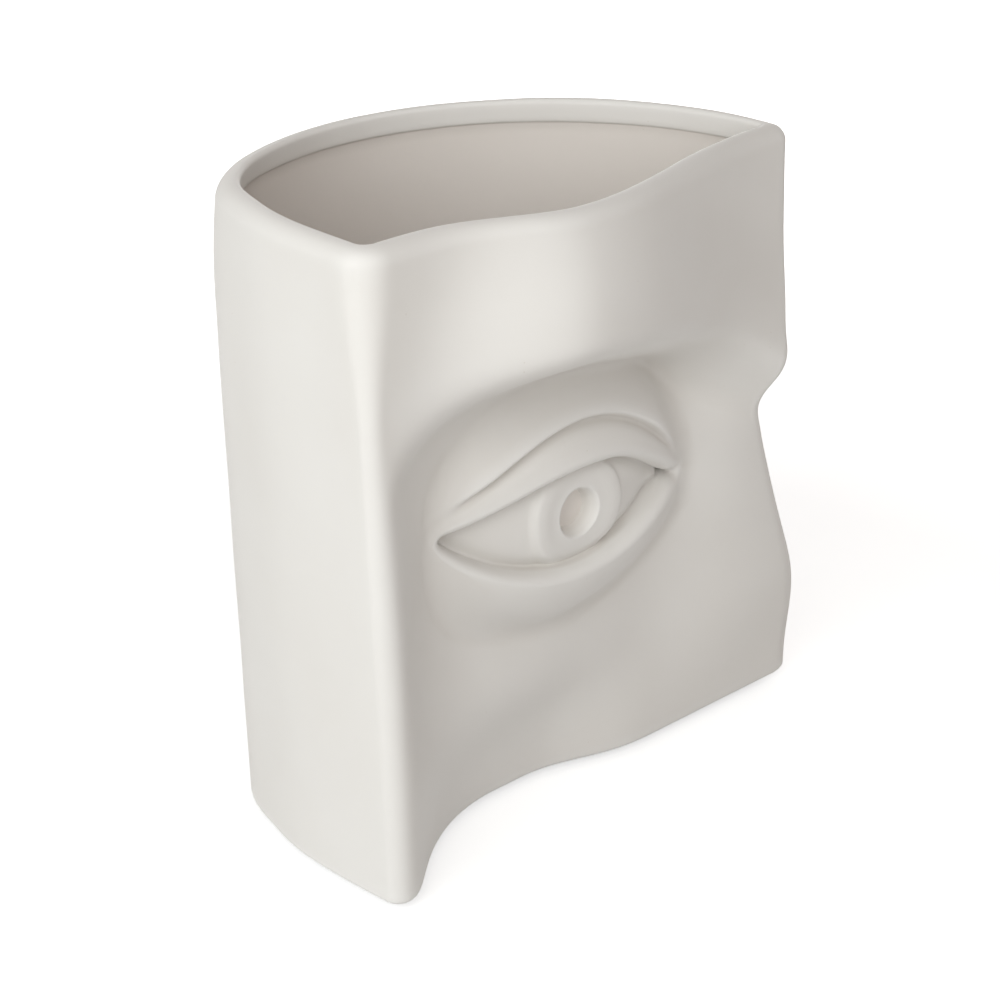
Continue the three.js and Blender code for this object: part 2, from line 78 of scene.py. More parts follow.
print("the vessel's corner in the part, m:", vessel_origin.round(4))

# %% [markdown]
# ## The eye as a height over the front wall
# A sculptor would push the eye up from a flat slab of clay. Sculpt strokes or a displacement
# picture could do that here, but a height formula has no resolution of its own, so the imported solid
# and this finer surface follow the same forms. Four small functions do all the shaping: a soft
# step, a blend, a soft bump and a soft maximum that runs one form into another.

# %% Shaping functions
def ease(t):
    t = np.clip(t, 0, 1)
    return t * t * t * (t * (6 * t - 15) + 10)


def mix(a, b, share):
    return a + (b - a) * share


def swell(distance, width):
    return np.exp(-((distance / width) ** 2))


def smooth_max(a, b, blend):
    share = np.clip(0.5 + 0.5 * (a - b) / blend, 0, 1)
    return mix(b, a, share) + blend * share * (1 - share)


print("ease(0.25) =", round(float(ease(0.25)), 3))

# %% [markdown]
# ## The opening between the lids
# The almond between the lids is the line that the whole eye is built on. Its widths are life-size
# millimetres from drawing books, enlarged by one scale. Each lid is a sine arch: a skew moves its
# peak, towards the nose on the upper lid and away from it on the lower one, and powers shape its
# ends.

# %% The almond
RELIEF_SCALE = 2.85
EYE_X, EYE_Z = 80.0, 90.0
HALF_ALMOND = 30 * RELIEF_SCALE / 2
OUTER_CORNER = (EYE_X - HALF_ALMOND, EYE_Z + 1.0 * RELIEF_SCALE)
INNER_CORNER = (EYE_X + HALF_ALMOND, EYE_Z - 1.4 * RELIEF_SCALE)
UPPER_ARCH = 5.1 * RELIEF_SCALE
LOWER_ARCH = 4.9 * RELIEF_SCALE
UPPER_SHAPE = (1.2, 0.8, 1.25)  # the peak's skew, and the powers at the outer and the inner corner
LOWER_SHAPE = (0.82, 0.9, 1.25)
COSINE_SHARE = 0.5  # how far the outline's points are spread as on a circle, rather than evenly


def along_eye(x):
    return np.clip((x - OUTER_CORNER[0]) / (INNER_CORNER[0] - OUTER_CORNER[0]), 0, 1)


def corner_line(x):
    return mix(OUTER_CORNER[1], INNER_CORNER[1], along_eye(x))


def lid_arch(t, skew, outer_power, inner_power):
    return np.clip(np.sin(np.pi * t**skew), 0, 1) ** mix(outer_power, inner_power, t * t)


def upper_lid(x):
    return corner_line(x) + UPPER_ARCH * lid_arch(along_eye(x), *UPPER_SHAPE)


def lower_lid(x):
    return corner_line(x) - LOWER_ARCH * lid_arch(along_eye(x), *LOWER_SHAPE)


def almond_point(angle):
    """The almond's point at an angle about the eye, from -pi to pi: 0 is the inner corner."""
    share = np.abs(angle) / np.pi
    x = EYE_X + HALF_ALMOND * mix(1 - 2 * share, np.cos(angle), COSINE_SHARE)
    return x, np.where(angle > 0, upper_lid(x), lower_lid(x))


print(f"almond {2 * HALF_ALMOND:.1f} mm wide and {UPPER_ARCH + LOWER_ARCH:.1f} mm tall at most")

# %% Distance to the almond
OUTLINE_POINTS = 240
outline_angles = np.linspace(-np.pi, np.pi, OUTLINE_POINTS, endpoint=False)
almond = np.stack(almond_point(outline_angles), axis=1)


def almond_distance(x, z):
    """Distance to the almond's outline, below zero inside it."""
    nearest = np.full(np.shape(x), np.inf)
    for start, end in zip(almond, np.roll(almond, -1, axis=0)):
        run_x, run_z = end - start
        t = ((x - start[0]) * run_x + (z - start[1]) * run_z) / (run_x**2 + run_z**2)
        t = np.clip(t, 0, 1)
        nearest = np.minimum(nearest, np.hypot(x - start[0] - t * run_x, z - start[1] - t * run_z))
    inside = (x > OUTER_CORNER[0]) & (x < INNER_CORNER[0]) & (z < upper_lid(x)) & (z > lower_lid(x))
    return np.where(inside, -nearest, nearest)


print(f"from the eye's middle to the lids, mm: {-float(almond_distance(EYE_X, EYE_Z)):.1f}")

# %% [markdown]
# ## The broad forms round it
# Forehead, brow, socket, cheek and the side of the nose come first, as they do in clay, and they
# are only soft steps and mounds. On the left they run out into the side wall's edge, and at the
# bottom into a plain line, because the casting is a slice with clean sides. All heights are in
# front of that edge.

# %% The front wall's border
NOSE_EDGE_RADIUS = 4.5  # where the front turns into the back wall
FRONT_RIGHT = BACK_CENTRE_X + BACK_RADIUS - NOSE_EDGE_RADIUS
LIP_OUTER_RADIUS = 4.8
FOOT_RADIUS = 2.0
FRONT_TOP = BODY_HEIGHT - LIP_OUTER_RADIUS
FRONT_BOTTOM = FOOT_RADIUS
SIDE_EDGE_RADIUS = 4.5  # the side wall's front edge
RIM_EDGE_RADIUS = 9.0  # the same edge, softened at the rim
RIM_EDGE_START = 135.0  # height where it starts to soften


def front_left(z):
    """Where the side wall's rounded edge ends."""
    softened = ease((z - RIM_EDGE_START) / (BODY_HEIGHT - RIM_EDGE_START))
    return mix(SIDE_EDGE_RADIUS, RIM_EDGE_RADIUS, softened)


print(f"front wall, mm: {FRONT_RIGHT - SIDE_EDGE_RADIUS:.1f} x {FRONT_TOP - FRONT_BOTTOM:.1f}")

# %% Bulges and mounds
BROW = (-2, 21, 64, 54)  # height at its ends, bulge, and the bulge's x and width
FOREHEAD = (-4, 16, 70, 50)
MOUNDS = (  # x, z, width, height, rise, turn in degrees
    (50, 126, 27, 12, 6, 0),  # the fold under the brow's outer half
    (119, 116, 17, 17, -7, 0),  # the hollow beside the nose
    (62, 36, 38, 22, 6, 0),  # the cheekbone
    (108, 62, 22, 8, -3, 37),  # the trough below the inner corner
)


def bulge(x, form):
    ends, rise, centre_x, width = form
    return ends + rise * swell(x - centre_x, width)


def mound(x, z, form):
    centre_x, centre_z, width, height, rise, degrees = form
    turn = math.radians(degrees)
    along = (x - centre_x) * math.cos(turn) + (z - centre_z) * math.sin(turn)
    across = (z - centre_z) * math.cos(turn) - (x - centre_x) * math.sin(turn)
    return rise * swell(along, width) * swell(across, height)


print(f"over the eye, brow {bulge(EYE_X, BROW):.1f} mm and forehead {bulge(EYE_X, FOREHEAD):.1f} mm")

# %% Fading into the side wall's edge
FADE_BESIDE_EYE = 44.0  # from the side wall's edge in to the full forms
FADE_AT_FOOT = 57.0
FADE_AT_BROW = 58.0
FADE_FOOT_TOP = 80.0
FADE_BROW_START = 115.0
FADE_BROW_RISE = 40.0
RIDGE_SOFTNESS = 0.12  # how round the edge's ridge is, as a share of that fade


def quick_run(share):
    """A run from 0 to 1 with a quick start after a short rounding, which leaves the edge a ridge."""
    rounded = np.hypot(np.clip(share, 0, 1), RIDGE_SOFTNESS) - RIDGE_SOFTNESS
    return 1 - (1 - rounded / (math.hypot(1, RIDGE_SOFTNESS) - RIDGE_SOFTNESS)) ** 2


def side_fade(x, z):
    """0 at the side wall's edge, and 1 where the forms have their full height."""
    low_fade = mix(FADE_BESIDE_EYE, FADE_AT_FOOT, ease(1 - z / FADE_FOOT_TOP))
    at_brow = ease((z - FADE_BROW_START) / FADE_BROW_RISE)
    share = (x - front_left(z)) / mix(low_fade, FADE_AT_BROW, at_brow)
    return mix(quick_run(share), ease(share), at_brow)


print(f"share of the forms at the eye's outer corner: {float(side_fade(*OUTER_CORNER)):.2f}")

# %% Forehead, brow and cheek
CHEEK_SETBACK = 22.0
BROW_PEAK_X = 57.0
BROW_PEAK_Z = 155.0
BROW_SAG = 25.0  # how far the brow drops towards the nose
BROW_SAG_SPAN = 85.0
UNDER_BROW_HEIGHT = 32.0
FOREHEAD_FALL = 40.0  # height over which the brow falls back to the forehead
NOSE_SIDE_START = 106.0
NOSE_SIDE_RISE = 10.0
NOSE_SIDE_TOP = 134.0
NOSE_SIDE_FADE = 46.0
FOOT_SETBACK = 26.0  # the plain line that the face runs out to at the foot
FOOT_LINE_RISE = 9.0
FOOT_LINE_START = 70.0
FOOT_LINE_SPAN = 45.0
FOOT_BLEND_HEIGHT = 48.0


def face(x, z):
    brow_z = BROW_PEAK_Z - BROW_SAG * ((x - BROW_PEAK_X) / BROW_SAG_SPAN) ** 2
    brow = bulge(x, BROW)
    height = mix(-CHEEK_SETBACK, brow, ease((z - brow_z) / UNDER_BROW_HEIGHT + 1))
    height = height + (bulge(x, FOREHEAD) - brow) * ease((z - brow_z) / FOREHEAD_FALL)
    height = height + sum(mound(x, z, form) for form in MOUNDS)
    nose_side = ease((x - NOSE_SIDE_START) / (FRONT_RIGHT - NOSE_SIDE_START))
    height = height + NOSE_SIDE_RISE * nose_side * ease((NOSE_SIDE_TOP - z) / NOSE_SIDE_FADE)
    foot_line = FOOT_LINE_RISE * ease((x - FOOT_LINE_START) / FOOT_LINE_SPAN) - FOOT_SETBACK
    height = mix(height, foot_line, ease(1 - z / FOOT_BLEND_HEIGHT))
    return height * side_fade(x, z)


brow_top = float(face(BROW_PEAK_X, BROW_PEAK_Z))
print(f"brow {brow_top:.1f} mm, socket {float(face(EYE_X, EYE_Z)):.1f} mm")

# %% [markdown]
# ## Lids and eyeball
# The eyeball is the front of an ellipsoid. The lids are a second, larger one laid over it, cut open
# along the almond, with a crease above and a groove below. The iris is a shallow disc with a
# drilled pupil, the way that carvers give a blank white eye its look. A quarter-round edge joins
# the lids to the ball.

# %% A dome for the eyeball and the lids
EYE_SETBACK = 9.0  # the eyeball's front, behind the side wall's front edge
EYEBALL_HALVES = (18 * RELIEF_SCALE, 13 * RELIEF_SCALE)
EYEBALL_DEPTH = 12.2 * RELIEF_SCALE


def dome(x, z, spread, front):
    """The front of an ellipsoid, larger than the eyeball by spread, falling away past its outline."""
    across = (x - EYE_X) / (EYEBALL_HALVES[0] + spread)
    up = (z - EYE_Z) / (EYEBALL_HALVES[1] + spread)
    left = 1 - across**2 - up**2
    depth = EYEBALL_DEPTH + spread / 2
    return front - depth * (1 - np.sqrt(np.clip(left, 0, 1)) + np.clip(-left, 0, None))


print(f"eyeball, mm: {2 * EYEBALL_HALVES[0]:.1f} x {2 * EYEBALL_HALVES[1]:.1f}")

# %% Lids with a crease and a groove
LID_SPREAD = 8.0  # how far the lids' dome reaches past the eyeball
LID_THICKNESS = 2.3 * RELIEF_SCALE
LID_BLEND = 6.0  # how softly the lids run into the face
LID_CHANGE = 6.0  # height over which the upper lid's skin gives way to the lower one's
CREASE_REACH = (2.4, 4.4)  # life-size, from the upper lid's edge: at the corners and at the middle
CREASE_FOLD = 3.0  # how far the brow's skin hangs over the lid
CREASE_BLEND = 9.0
CREASE_DEPTH = 2.2
CREASE_WIDTH = 1.7
CREASE_RUN = (-0.05, 0.22, 1.03, 0.2)  # shares along the eye: start, rise, end and fall
FOLD_LEAD = 0.6  # the fold starts this many crease widths before the crease
FOLD_SPAN = 2.0  # and is full after this many
GROOVE_REACH = (3.6, 8.2)  # the same for the groove above the cheek, from the lower lid's edge
GROOVE_DEPTH = 2.2
GROOVE_WIDTH = 5.5
GROOVE_RUN = (0.0, 0.35, 1.0, 0.4)
CORNER_SINK = 0.9  # the skin sinks this much beside the inner corner
CORNER_SINK_RADIUS = 4.5


def past_fold(x, distance, reach):
    """Distance past the crease or the groove, whose reach from the lid's edge grows to the middle."""
    return distance - RELIEF_SCALE * mix(*reach, np.sin(np.pi * along_eye(x)))


def run_along(x, run):
    """1 along a crease or a groove, fading at both of its ends."""
    start, rise, end, fall = run
    t = along_eye(x)
    return ease((t - start) / rise) * ease((end - t) / fall)


def skin(x, z, distance):
    lids = dome(x, z, LID_SPREAD, LID_THICKNESS - EYE_SETBACK)
    ground = face(x, z)
    lid = smooth_max(ground, lids, LID_BLEND)
    crease = past_fold(x, distance, CREASE_REACH)
    crease_span = run_along(x, CREASE_RUN)
    fold = smooth_max(ground, lids + CREASE_FOLD, CREASE_BLEND)
    upper = mix(lid, fold, crease_span * ease((crease / CREASE_WIDTH + FOLD_LEAD) / FOLD_SPAN))
    upper = upper - CREASE_DEPTH * crease_span * swell(crease, CREASE_WIDTH)
    groove = past_fold(x, distance, GROOVE_REACH)
    lower = lid - GROOVE_DEPTH * run_along(x, GROOVE_RUN) * swell(groove, GROOVE_WIDTH)
    beside = np.hypot(x - INNER_CORNER[0] - CORNER_SINK_RADIUS, z - INNER_CORNER[1])
    sunk = CORNER_SINK * swell(beside, CORNER_SINK_RADIUS)
    return mix(lower, upper, ease((z - corner_line(x)) / LID_CHANGE + 0.5)) - sunk


crease_up, groove_down = RELIEF_SCALE * CREASE_REACH[1], RELIEF_SCALE * GROOVE_REACH[1]
print(f"crease {crease_up:.1f} mm above the opening, groove {groove_down:.1f} mm below it")

# %% Iris and pupil
IRIS_RADIUS = 5.9 * RELIEF_SCALE
IRIS_RISE = 1.5
IRIS_DISH = 1.2  # the iris is hollowed towards the pupil
IRIS_DISH_WIDTH = 8.0
PUPIL_RADIUS = 2.2 * RELIEF_SCALE
PUPIL_DEPTH = 6.0
CARVED_EDGE = 3.0  # width of the slopes of the iris and the pupil
TEAR_CORNER_RISE = 3.0
TEAR_CORNER_RADIUS = 4.0


def eyeball(x, z):
    radius = np.hypot(x - EYE_X, z - EYE_Z)
    in_iris = IRIS_RADIUS - radius
    tear_corner = np.hypot(x - INNER_CORNER[0] + TEAR_CORNER_RADIUS, z - INNER_CORNER[1])
    height = dome(x, z, 0, -EYE_SETBACK)
    height = height + IRIS_RISE * ease(in_iris / CARVED_EDGE + 0.5)
    height = height - IRIS_DISH * ease((in_iris - CARVED_EDGE / 2) / IRIS_DISH_WIDTH)
    height = height - PUPIL_DEPTH * ease((PUPIL_RADIUS - radius) / CARVED_EDGE + 0.5)
    return height + TEAR_CORNER_RISE * swell(tear_corner, TEAR_CORNER_RADIUS)


print(f"iris {2 * IRIS_RADIUS:.1f} mm and pupil {2 * PUPIL_RADIUS:.1f} mm across")

# %% The outside of the front wall
LID_MARGIN = 1.45 * RELIEF_SCALE  # width of the lids' rounded edge
LID_SHADOW_DEPTH = 1.2  # the eyeball sinks this much where the lids lie on it
LID_SHADOW_WIDTH = 2.2


def front_height(x, z):
    """The outside of the whole front wall."""
    distance = almond_distance(x, z)
    over = skin(x, z, distance)
    under = np.minimum(eyeball(x, z), over) - LID_SHADOW_DEPTH * swell(distance, LID_SHADOW_WIDTH)
    turned = 1 - np.clip(distance / LID_MARGIN, 0, 1)
    return mix(under, over, np.sqrt(1 - turned**2))


probe_x = np.array([EYE_X, EYE_X + IRIS_RADIUS - CARVED_EDGE, EYE_X])
probe_z = np.array([EYE_Z, EYE_Z, EYE_Z + UPPER_ARCH + 2 * LID_MARGIN])
print("pupil, iris and upper lid, mm:", front_height(probe_x, probe_z).round(1))

# %% [markdown]
# ## The hollow behind the relief
# In slip casting, liquid clay stiffens against the plaster mould and the rest is poured out. The
# wall is then about as thick everywhere, and its inside follows the outside softly. A Solidify
# modifier would fold over in the lids, so the inside gets its own form: the face and the eyeball
# without lids, one wall further back.

# %% The inside of the front wall
WALL = 5.5
CAVITY_BLEND = 16.0  # how softly the eyeball's inside runs into the face's


def inner_form(x, z):
    return smooth_max(face(x, z), dome(x, z, 0, -EYE_SETBACK), CAVITY_BLEND)


def cavity_depth(x, z):
    """How far back the hollow starts: one wall, measured square to its slope."""
    sideways = (inner_form(x + 1, z) - inner_form(x - 1, z)) / 2
    upwards = (inner_form(x, z + 1) - inner_form(x, z - 1)) / 2
    return WALL * np.sqrt(1 + sideways**2 + upwards**2) - inner_form(x, z)


print(f"wall behind the eyeball, mm: {float(cavity_depth(EYE_X, EYE_Z)) - EYE_SETBACK:.1f}")

# %% [markdown]
# ## Walls as rings
# Seen from above, the walls are a line and three arcs: the flat side, a wide corner, the round back
# and the edge where the back meets the relief. A ring of points at each height could be swept by a
# curve, but here the edge changes its radius on the way up, the rim is drawn in at the wide corner
# and the far edge swings out at the foot, so each ring is worked out on its own.

# %% Bends of the walls
CORNER_RADIUS = 52.0  # where the side wall turns into the back
CORNER_EASE = 2.0  # how far the side wall bends in where that corner starts
CORNER_EASE_START = 11.0  # from the corner's start to the middle of that bend
CORNER_EASE_SPAN = 13.0
SIDE_BOW = 3.0  # how far the side wall bends in at its front edge, at the foot
SIDE_BOW_REACH = 60.0
FOOT_FLARE = 25.0  # how far the nose edge swings out at the foot
FOOT_FLARE_HEIGHT = 125.0
RIM_DRAW = 2.8  # how far the rim is drawn in at the wide corner
RIM_DRAW_HEIGHT = 34.0
RIM_DRAW_ANGLE = 122.0  # degrees about the back wall's centre
RIM_DRAW_SPREAD = 26.0
corner_reach = BACK_RADIUS - CORNER_RADIUS
corner_y = BACK_CENTRE_Y + math.sqrt(corner_reach**2 - (BACK_CENTRE_X - CORNER_RADIUS) ** 2)


def place(x, y, z):
    """A point of the vessel with its bends in the side wall, at the rim and at the foot."""
    x, y, z = np.broadcast_arrays(np.asarray(x, float), y, z)
    bow = SIDE_BOW * (np.maximum(0, corner_y - y) / corner_y) ** 2 * ease(1 - z / BODY_HEIGHT)
    eased = CORNER_EASE * swell(y - corner_y - CORNER_EASE_START, CORNER_EASE_SPAN)
    share = np.maximum(0, x - BACK_CENTRE_X) / BACK_RADIUS
    flare = FOOT_FLARE * share**3 * ease(1 - z / FOOT_FLARE_HEIGHT)
    angle = np.arctan2(y - BACK_CENTRE_Y, x - BACK_CENTRE_X)
    near_rim = np.maximum(0, (z - BODY_HEIGHT) / RIM_DRAW_HEIGHT + 1) ** 2
    drawn = RIM_DRAW * near_rim * swell(np.degrees(angle) - RIM_DRAW_ANGLE, RIM_DRAW_SPREAD)
    across = (bow + eased) * ease(1 - x / SIDE_BOW_REACH) + flare - drawn * np.cos(angle)
    return np.stack([x + across, y - drawn * np.sin(angle), z], axis=-1)


print(f"the wide corner starts {corner_y:.1f} mm behind the front edge")

# %% The walls at one height
STEPS = {"edge": 8, "side": 14, "corner": 16, "back": 40, "nose": 10}
CAVITY_EDGE = 2.0  # least radius of an upright corner inside
corner_end = math.atan2(corner_y - BACK_CENTRE_Y, CORNER_RADIUS - BACK_CENTRE_X)


def stretch(name, start, end):
    return np.linspace(start, end, STEPS[name], endpoint=False)


def wall_outline(z, inset, edge, left_depth, right_depth):
    """The side and back walls at one height, from the front's left limit round to its right one."""
    right = FRONT_RIGHT - inset
    nose = max(NOSE_EDGE_RADIUS - inset, CAVITY_EDGE)
    back_end = math.asin((right_depth + nose - BACK_CENTRE_Y) / (BACK_RADIUS - inset))
    nose_width = BACK_CENTRE_X + (BACK_RADIUS - inset) * math.cos(back_end) - right
    edge_turn = stretch("edge", 0, math.pi / 2)
    side = stretch("side", left_depth + edge, corner_y)
    corner = stretch("corner", math.pi, corner_end)
    back = stretch("back", corner_end, back_end)
    nose_turn = np.linspace(0, math.pi / 2, STEPS["nose"] + 1)
    x = [
        inset + edge * (1 - np.sin(edge_turn)),
        np.full_like(side, inset),
        CORNER_RADIUS + (CORNER_RADIUS - inset) * np.cos(corner),
        BACK_CENTRE_X + (BACK_RADIUS - inset) * np.cos(back),
        right + nose_width * np.cos(nose_turn),
    ]
    y = [
        left_depth + edge * (1 - np.cos(edge_turn)),
        side,
        corner_y + (CORNER_RADIUS - inset) * np.sin(corner),
        BACK_CENTRE_Y + (BACK_RADIUS - inset) * np.sin(back),
        right_depth + nose * (1 - np.sin(nose_turn)),
    ]
    return place(np.concatenate(x), np.concatenate(y), z)


print(sum(STEPS.values()) + 1, "points along the walls")

# %% One ring of the vessel
COLUMNS = 110  # across the front
front_share = np.linspace(0, 1, COLUMNS + 1)


def vessel_ring(z, inset, front_depth):
    """A closed ring: the walls, then the front from right to left at the depth given for x."""
    edge = max(float(front_left(z)) - inset, CAVITY_EDGE)
    x = mix(inset + edge, FRONT_RIGHT - inset, front_share)
    y = front_depth(x)
    walls = wall_outline(z, inset, edge, float(y[0]), float(y[-1]))
    return np.concatenate([walls, place(x[-2:0:-1], y[-2:0:-1], z)])


rim_ring = vessel_ring(FRONT_TOP, 0.0, lambda x: -front_height(x, FRONT_TOP))
print("rim, mm:", np.ptp(rim_ring[:, 0]).round(1), "x", np.ptp(rim_ring[:, 1]).round(1))

# %% [markdown]
# ## The front wall in rings round the pupil
# A square grid would cut across the lids in little stairs. Rings that start as circles in the
# pupil, take the almond's shape at the lids, follow the crease and the groove and end on the wall's
# straight border put an edge of the mesh along each line that the eye notices.

# %% Border and spokes
ROWS = 120  # up the walls
SPOKE_HALVES = (69.0, 90.0)  # the oval round the eye that spreads the spokes
heights = np.linspace(FRONT_BOTTOM, FRONT_TOP, ROWS + 1)
low = mix(front_left(FRONT_BOTTOM), FRONT_RIGHT, front_share)
high = mix(front_left(FRONT_TOP), FRONT_RIGHT, front_share)
# counter-clockwise as seen from the front, from the lower left corner
border_x = [low[:-1], np.full(ROWS, FRONT_RIGHT), high[:0:-1], front_left(heights[:0:-1])]
border_z = [np.full(COLUMNS, FRONT_BOTTOM), heights[:-1], np.full(COLUMNS, FRONT_TOP), heights[:0:-1]]
border = np.concatenate(border_x), np.concatenate(border_z)

angle = np.arctan2((border[1] - EYE_Z) / SPOKE_HALVES[1], (border[0] - EYE_X) / SPOKE_HALVES[0])
angle[np.argmin(np.abs(angle))] = 0.0  # one spoke meets each corner of the eye
angle[np.argmin(np.pi - np.abs(angle))] = np.pi
cos, sin = np.cos(angle), np.sin(angle)
lid = almond_point(angle)
print(len(angle), "spokes from the pupil to the border")

# %% Rings on the eyeball
PUPIL_FLOOR_RADII = (1.2, 2.4, 3.6)
PUPIL_WALL = (-1.7, 1.8)  # rings past the pupil's radius, from and to
PUPIL_WALL_RINGS = 9
IRIS_STEPS = 5  # from the pupil to the iris's edge
IRIS_BAND = ((-1.9, 0.8), (1.9, 0.9))  # past that edge, and the largest share of the way to the lid
IRIS_BAND_RINGS = 7
TO_LID = (0.12, 0.26, 0.41, 0.56, 0.7, 0.82, 0.92, 1.0)  # shares, closer together near the lid


def ellipse_share(start_x, start_z, end_x, end_z, half_width, half_height):
    """The share of the way from start to end at which an ellipse round the eye is crossed."""
    from_x, from_z = (start_x - EYE_X) / half_width, (start_z - EYE_Z) / half_height
    run_x, run_z = (end_x - start_x) / half_width, (end_z - start_z) / half_height
    reach = run_x**2 + run_z**2
    lean = from_x * run_x + from_z * run_z
    room = lean**2 - reach * (from_x**2 + from_z**2 - 1)
    return (np.sqrt(np.maximum(room, 0)) - lean) / reach


def rings_between(start, end, shares):
    """Rings at shares of the way from one ring to another."""
    return [(mix(start[0], end[0], t), mix(start[1], end[1], t)) for t in shares]


drilled = np.linspace(PUPIL_RADIUS + PUPIL_WALL[0], PUPIL_RADIUS + PUPIL_WALL[1], PUPIL_WALL_RINGS)
rings = [(EYE_X + radius * cos, EYE_Z + radius * sin) for radius in (*PUPIL_FLOOR_RADII, *drilled)]
band = []
for past, limit in IRIS_BAND:
    radius = IRIS_RADIUS + past
    band.append(np.minimum(ellipse_share(*rings[-1], *lid, radius, radius), limit))
shares = [band[0] * t for t in np.arange(1, IRIS_STEPS) / IRIS_STEPS]
shares += [mix(*band, t) for t in np.linspace(0, 1, IRIS_BAND_RINGS)]
shares += [mix(band[1], 1, t) for t in TO_LID]
rings += rings_between(rings[-1], lid, shares)
print(len(rings), "rings on the eyeball")

# %% Rings on the lids
FOLD_SEARCH = 48.0  # further from the lid's edge than any crease or groove
HALVINGS = 24
MARGIN_OFFSETS = (0.1, 0.3, 0.6, 1.0, 1.5, 2.1, 2.8, 3.5)  # out from the lids' edge, over its rounding
MARGIN_STEPS = 4  # from there to the crease or the groove
FOLD_RINGS = 11
CREASE_SPREAD = 1.5  # crease widths on each side that its rings cover
CORNER_TURN = 0.5  # radians beside the eye's corners in which those rings close up
CORNER_REACH = 3.0  # how many margins from a corner they end
LEAST_LID = 0.6  # least gaps between the margin, the first of those rings and the last
LEAST_FOLD = 1.5


def fold_distance(out_x, out_z):
    """How far out of a lid's edge its crease or groove lies, found by halving."""
    near, far = np.zeros_like(angle), np.full_like(angle, FOLD_SEARCH)
    for _ in range(HALVINGS):
        tried = (near + far) / 2
        x, z = lid[0] + out_x * tried, lid[1] + out_z * tried
        distance = almond_distance(x, z)
        crease, groove = (past_fold(x, distance, reach) for reach in (CREASE_REACH, GROOVE_REACH))
        before = np.where(angle > 0, crease, groove) < 0
        near, far = np.where(before, tried, near), np.where(before, far, tried)
    return near


out = np.stack([cos * LOWER_ARCH, sin * HALF_ALMOND])
out_x, out_z = out / np.hypot(*out)
fold = fold_distance(out_x, out_z)
spread = np.where(angle > 0, CREASE_WIDTH * CREASE_SPREAD, GROOVE_WIDTH)
from_corner = ease(np.minimum(np.abs(angle), np.pi - np.abs(angle)) / CORNER_TURN)
start = np.maximum(mix(LID_MARGIN, fold - spread, from_corner), LID_MARGIN + LEAST_LID)
end = np.maximum(mix(LID_MARGIN * CORNER_REACH, fold + spread, from_corner), start + LEAST_FOLD)
offsets = [np.full_like(angle, offset) for offset in (*MARGIN_OFFSETS, LID_MARGIN)]
offsets += [mix(LID_MARGIN, start, t) for t in np.arange(1, MARGIN_STEPS) / MARGIN_STEPS]
offsets += [mix(start, end, t) for t in np.linspace(0, 1, FOLD_RINGS)]
rings += [(lid[0] + out_x * offset, lid[1] + out_z * offset) for offset in offsets]
print(len(rings), "rings with the lids")

# %% Rings out to the border
DOME_LIMITS = (0.15, 0.8)  # shares of the way to the border between which the lids' dome ends
DOME_RINGS = 16
BORDER_RINGS = 30
dome_halves = [half + LID_SPREAD for half in EYEBALL_HALVES]
dome_end = np.clip(ellipse_share(*rings[-1], *border, *dome_halves), *DOME_LIMITS)
shares = [dome_end * t for t in np.linspace(0, 1, DOME_RINGS + 1)[1:]]
shares += [mix(dome_end, 1, t) for t in np.linspace(0, 1, BORDER_RINGS + 1)[1:]]
rings += rings_between(rings[-1], border, shares)
ring_x, ring_z = np.array(rings).transpose(1, 0, 2)
front = place(ring_x, -front_height(ring_x, ring_z), ring_z)
print("front wall:", front.shape[0], "rings of", front.shape[1], "points")

# %% [markdown]
# ## Joining the skin
# The front, the outer walls, the lip, the hollow and the base are grids of points that share their
# borders. Boolean unions would leave long thin faces in a white surface that shows every dent, so
# the grids are simply placed edge to edge and welded. A value on each point remembers what lies
# inside the hollow.

# %% A shell made of grids
WELD_DISTANCE = 1e-6  # metres


class Shell:
    """The vase's skin, gathered grid by grid and welded into one mesh."""

    def __init__(self):
        self.points, self.inside, self.faces, self.count = [], [], [], 0

    def grid(self, rows, closed, inside=0.0):
        rows = np.asarray(rows)
        index = np.arange(rows.shape[0] * rows.shape[1]).reshape(rows.shape[:2]) + self.count
        self.points.append(rows.reshape(-1, 3))
        self.inside.append(np.repeat(np.broadcast_to(inside, rows.shape[0]), rows.shape[1]))
        self.count += index.size
        around = np.concatenate([index, index[:, :1]], axis=1) if closed else index
        corners = around[:-1, :-1], around[1:, :-1], around[1:, 1:], around[:-1, 1:]
        self.faces += np.stack(corners, axis=-1).reshape(-1, 4).tolist()
        return index

    def cap(self, ring):
        self.faces.append(ring.tolist())

    def mesh(self, name):
        mesh = bpy.data.meshes.new(name)
        mesh.from_pydata(to_part(np.concatenate(self.points)).tolist(), [], self.faces)
        inside = mesh.attributes.new("inside", "FLOAT", "POINT")
        inside.data.foreach_set("value", np.concatenate(self.inside).astype(np.float32))
        work = bmesh.new()
        work.from_mesh(mesh)
        bmesh.ops.remove_doubles(work, verts=work.verts, dist=WELD_DISTANCE)
        open_edges = sum(not edge.is_manifold for edge in work.edges)
        litres = work.calc_volume(signed=True) * 1000
        work.to_mesh(mesh)
        work.free()
        mesh.polygons.foreach_set("use_smooth", [True] * len(mesh.polygons))
        print(f"{name}: {len(mesh.polygons)} faces, {open_edges} open edges, {litres:.3f} litres")
        return mesh


# %% Front and outer walls
shell = Shell()
pupil_floor = place(EYE_X, -front_height(np.array(EYE_X), np.array(EYE_Z)), EYE_Z)
shell.grid(np.concatenate([np.repeat(pupil_floor[None, None], front.shape[1], axis=1), front]), True)

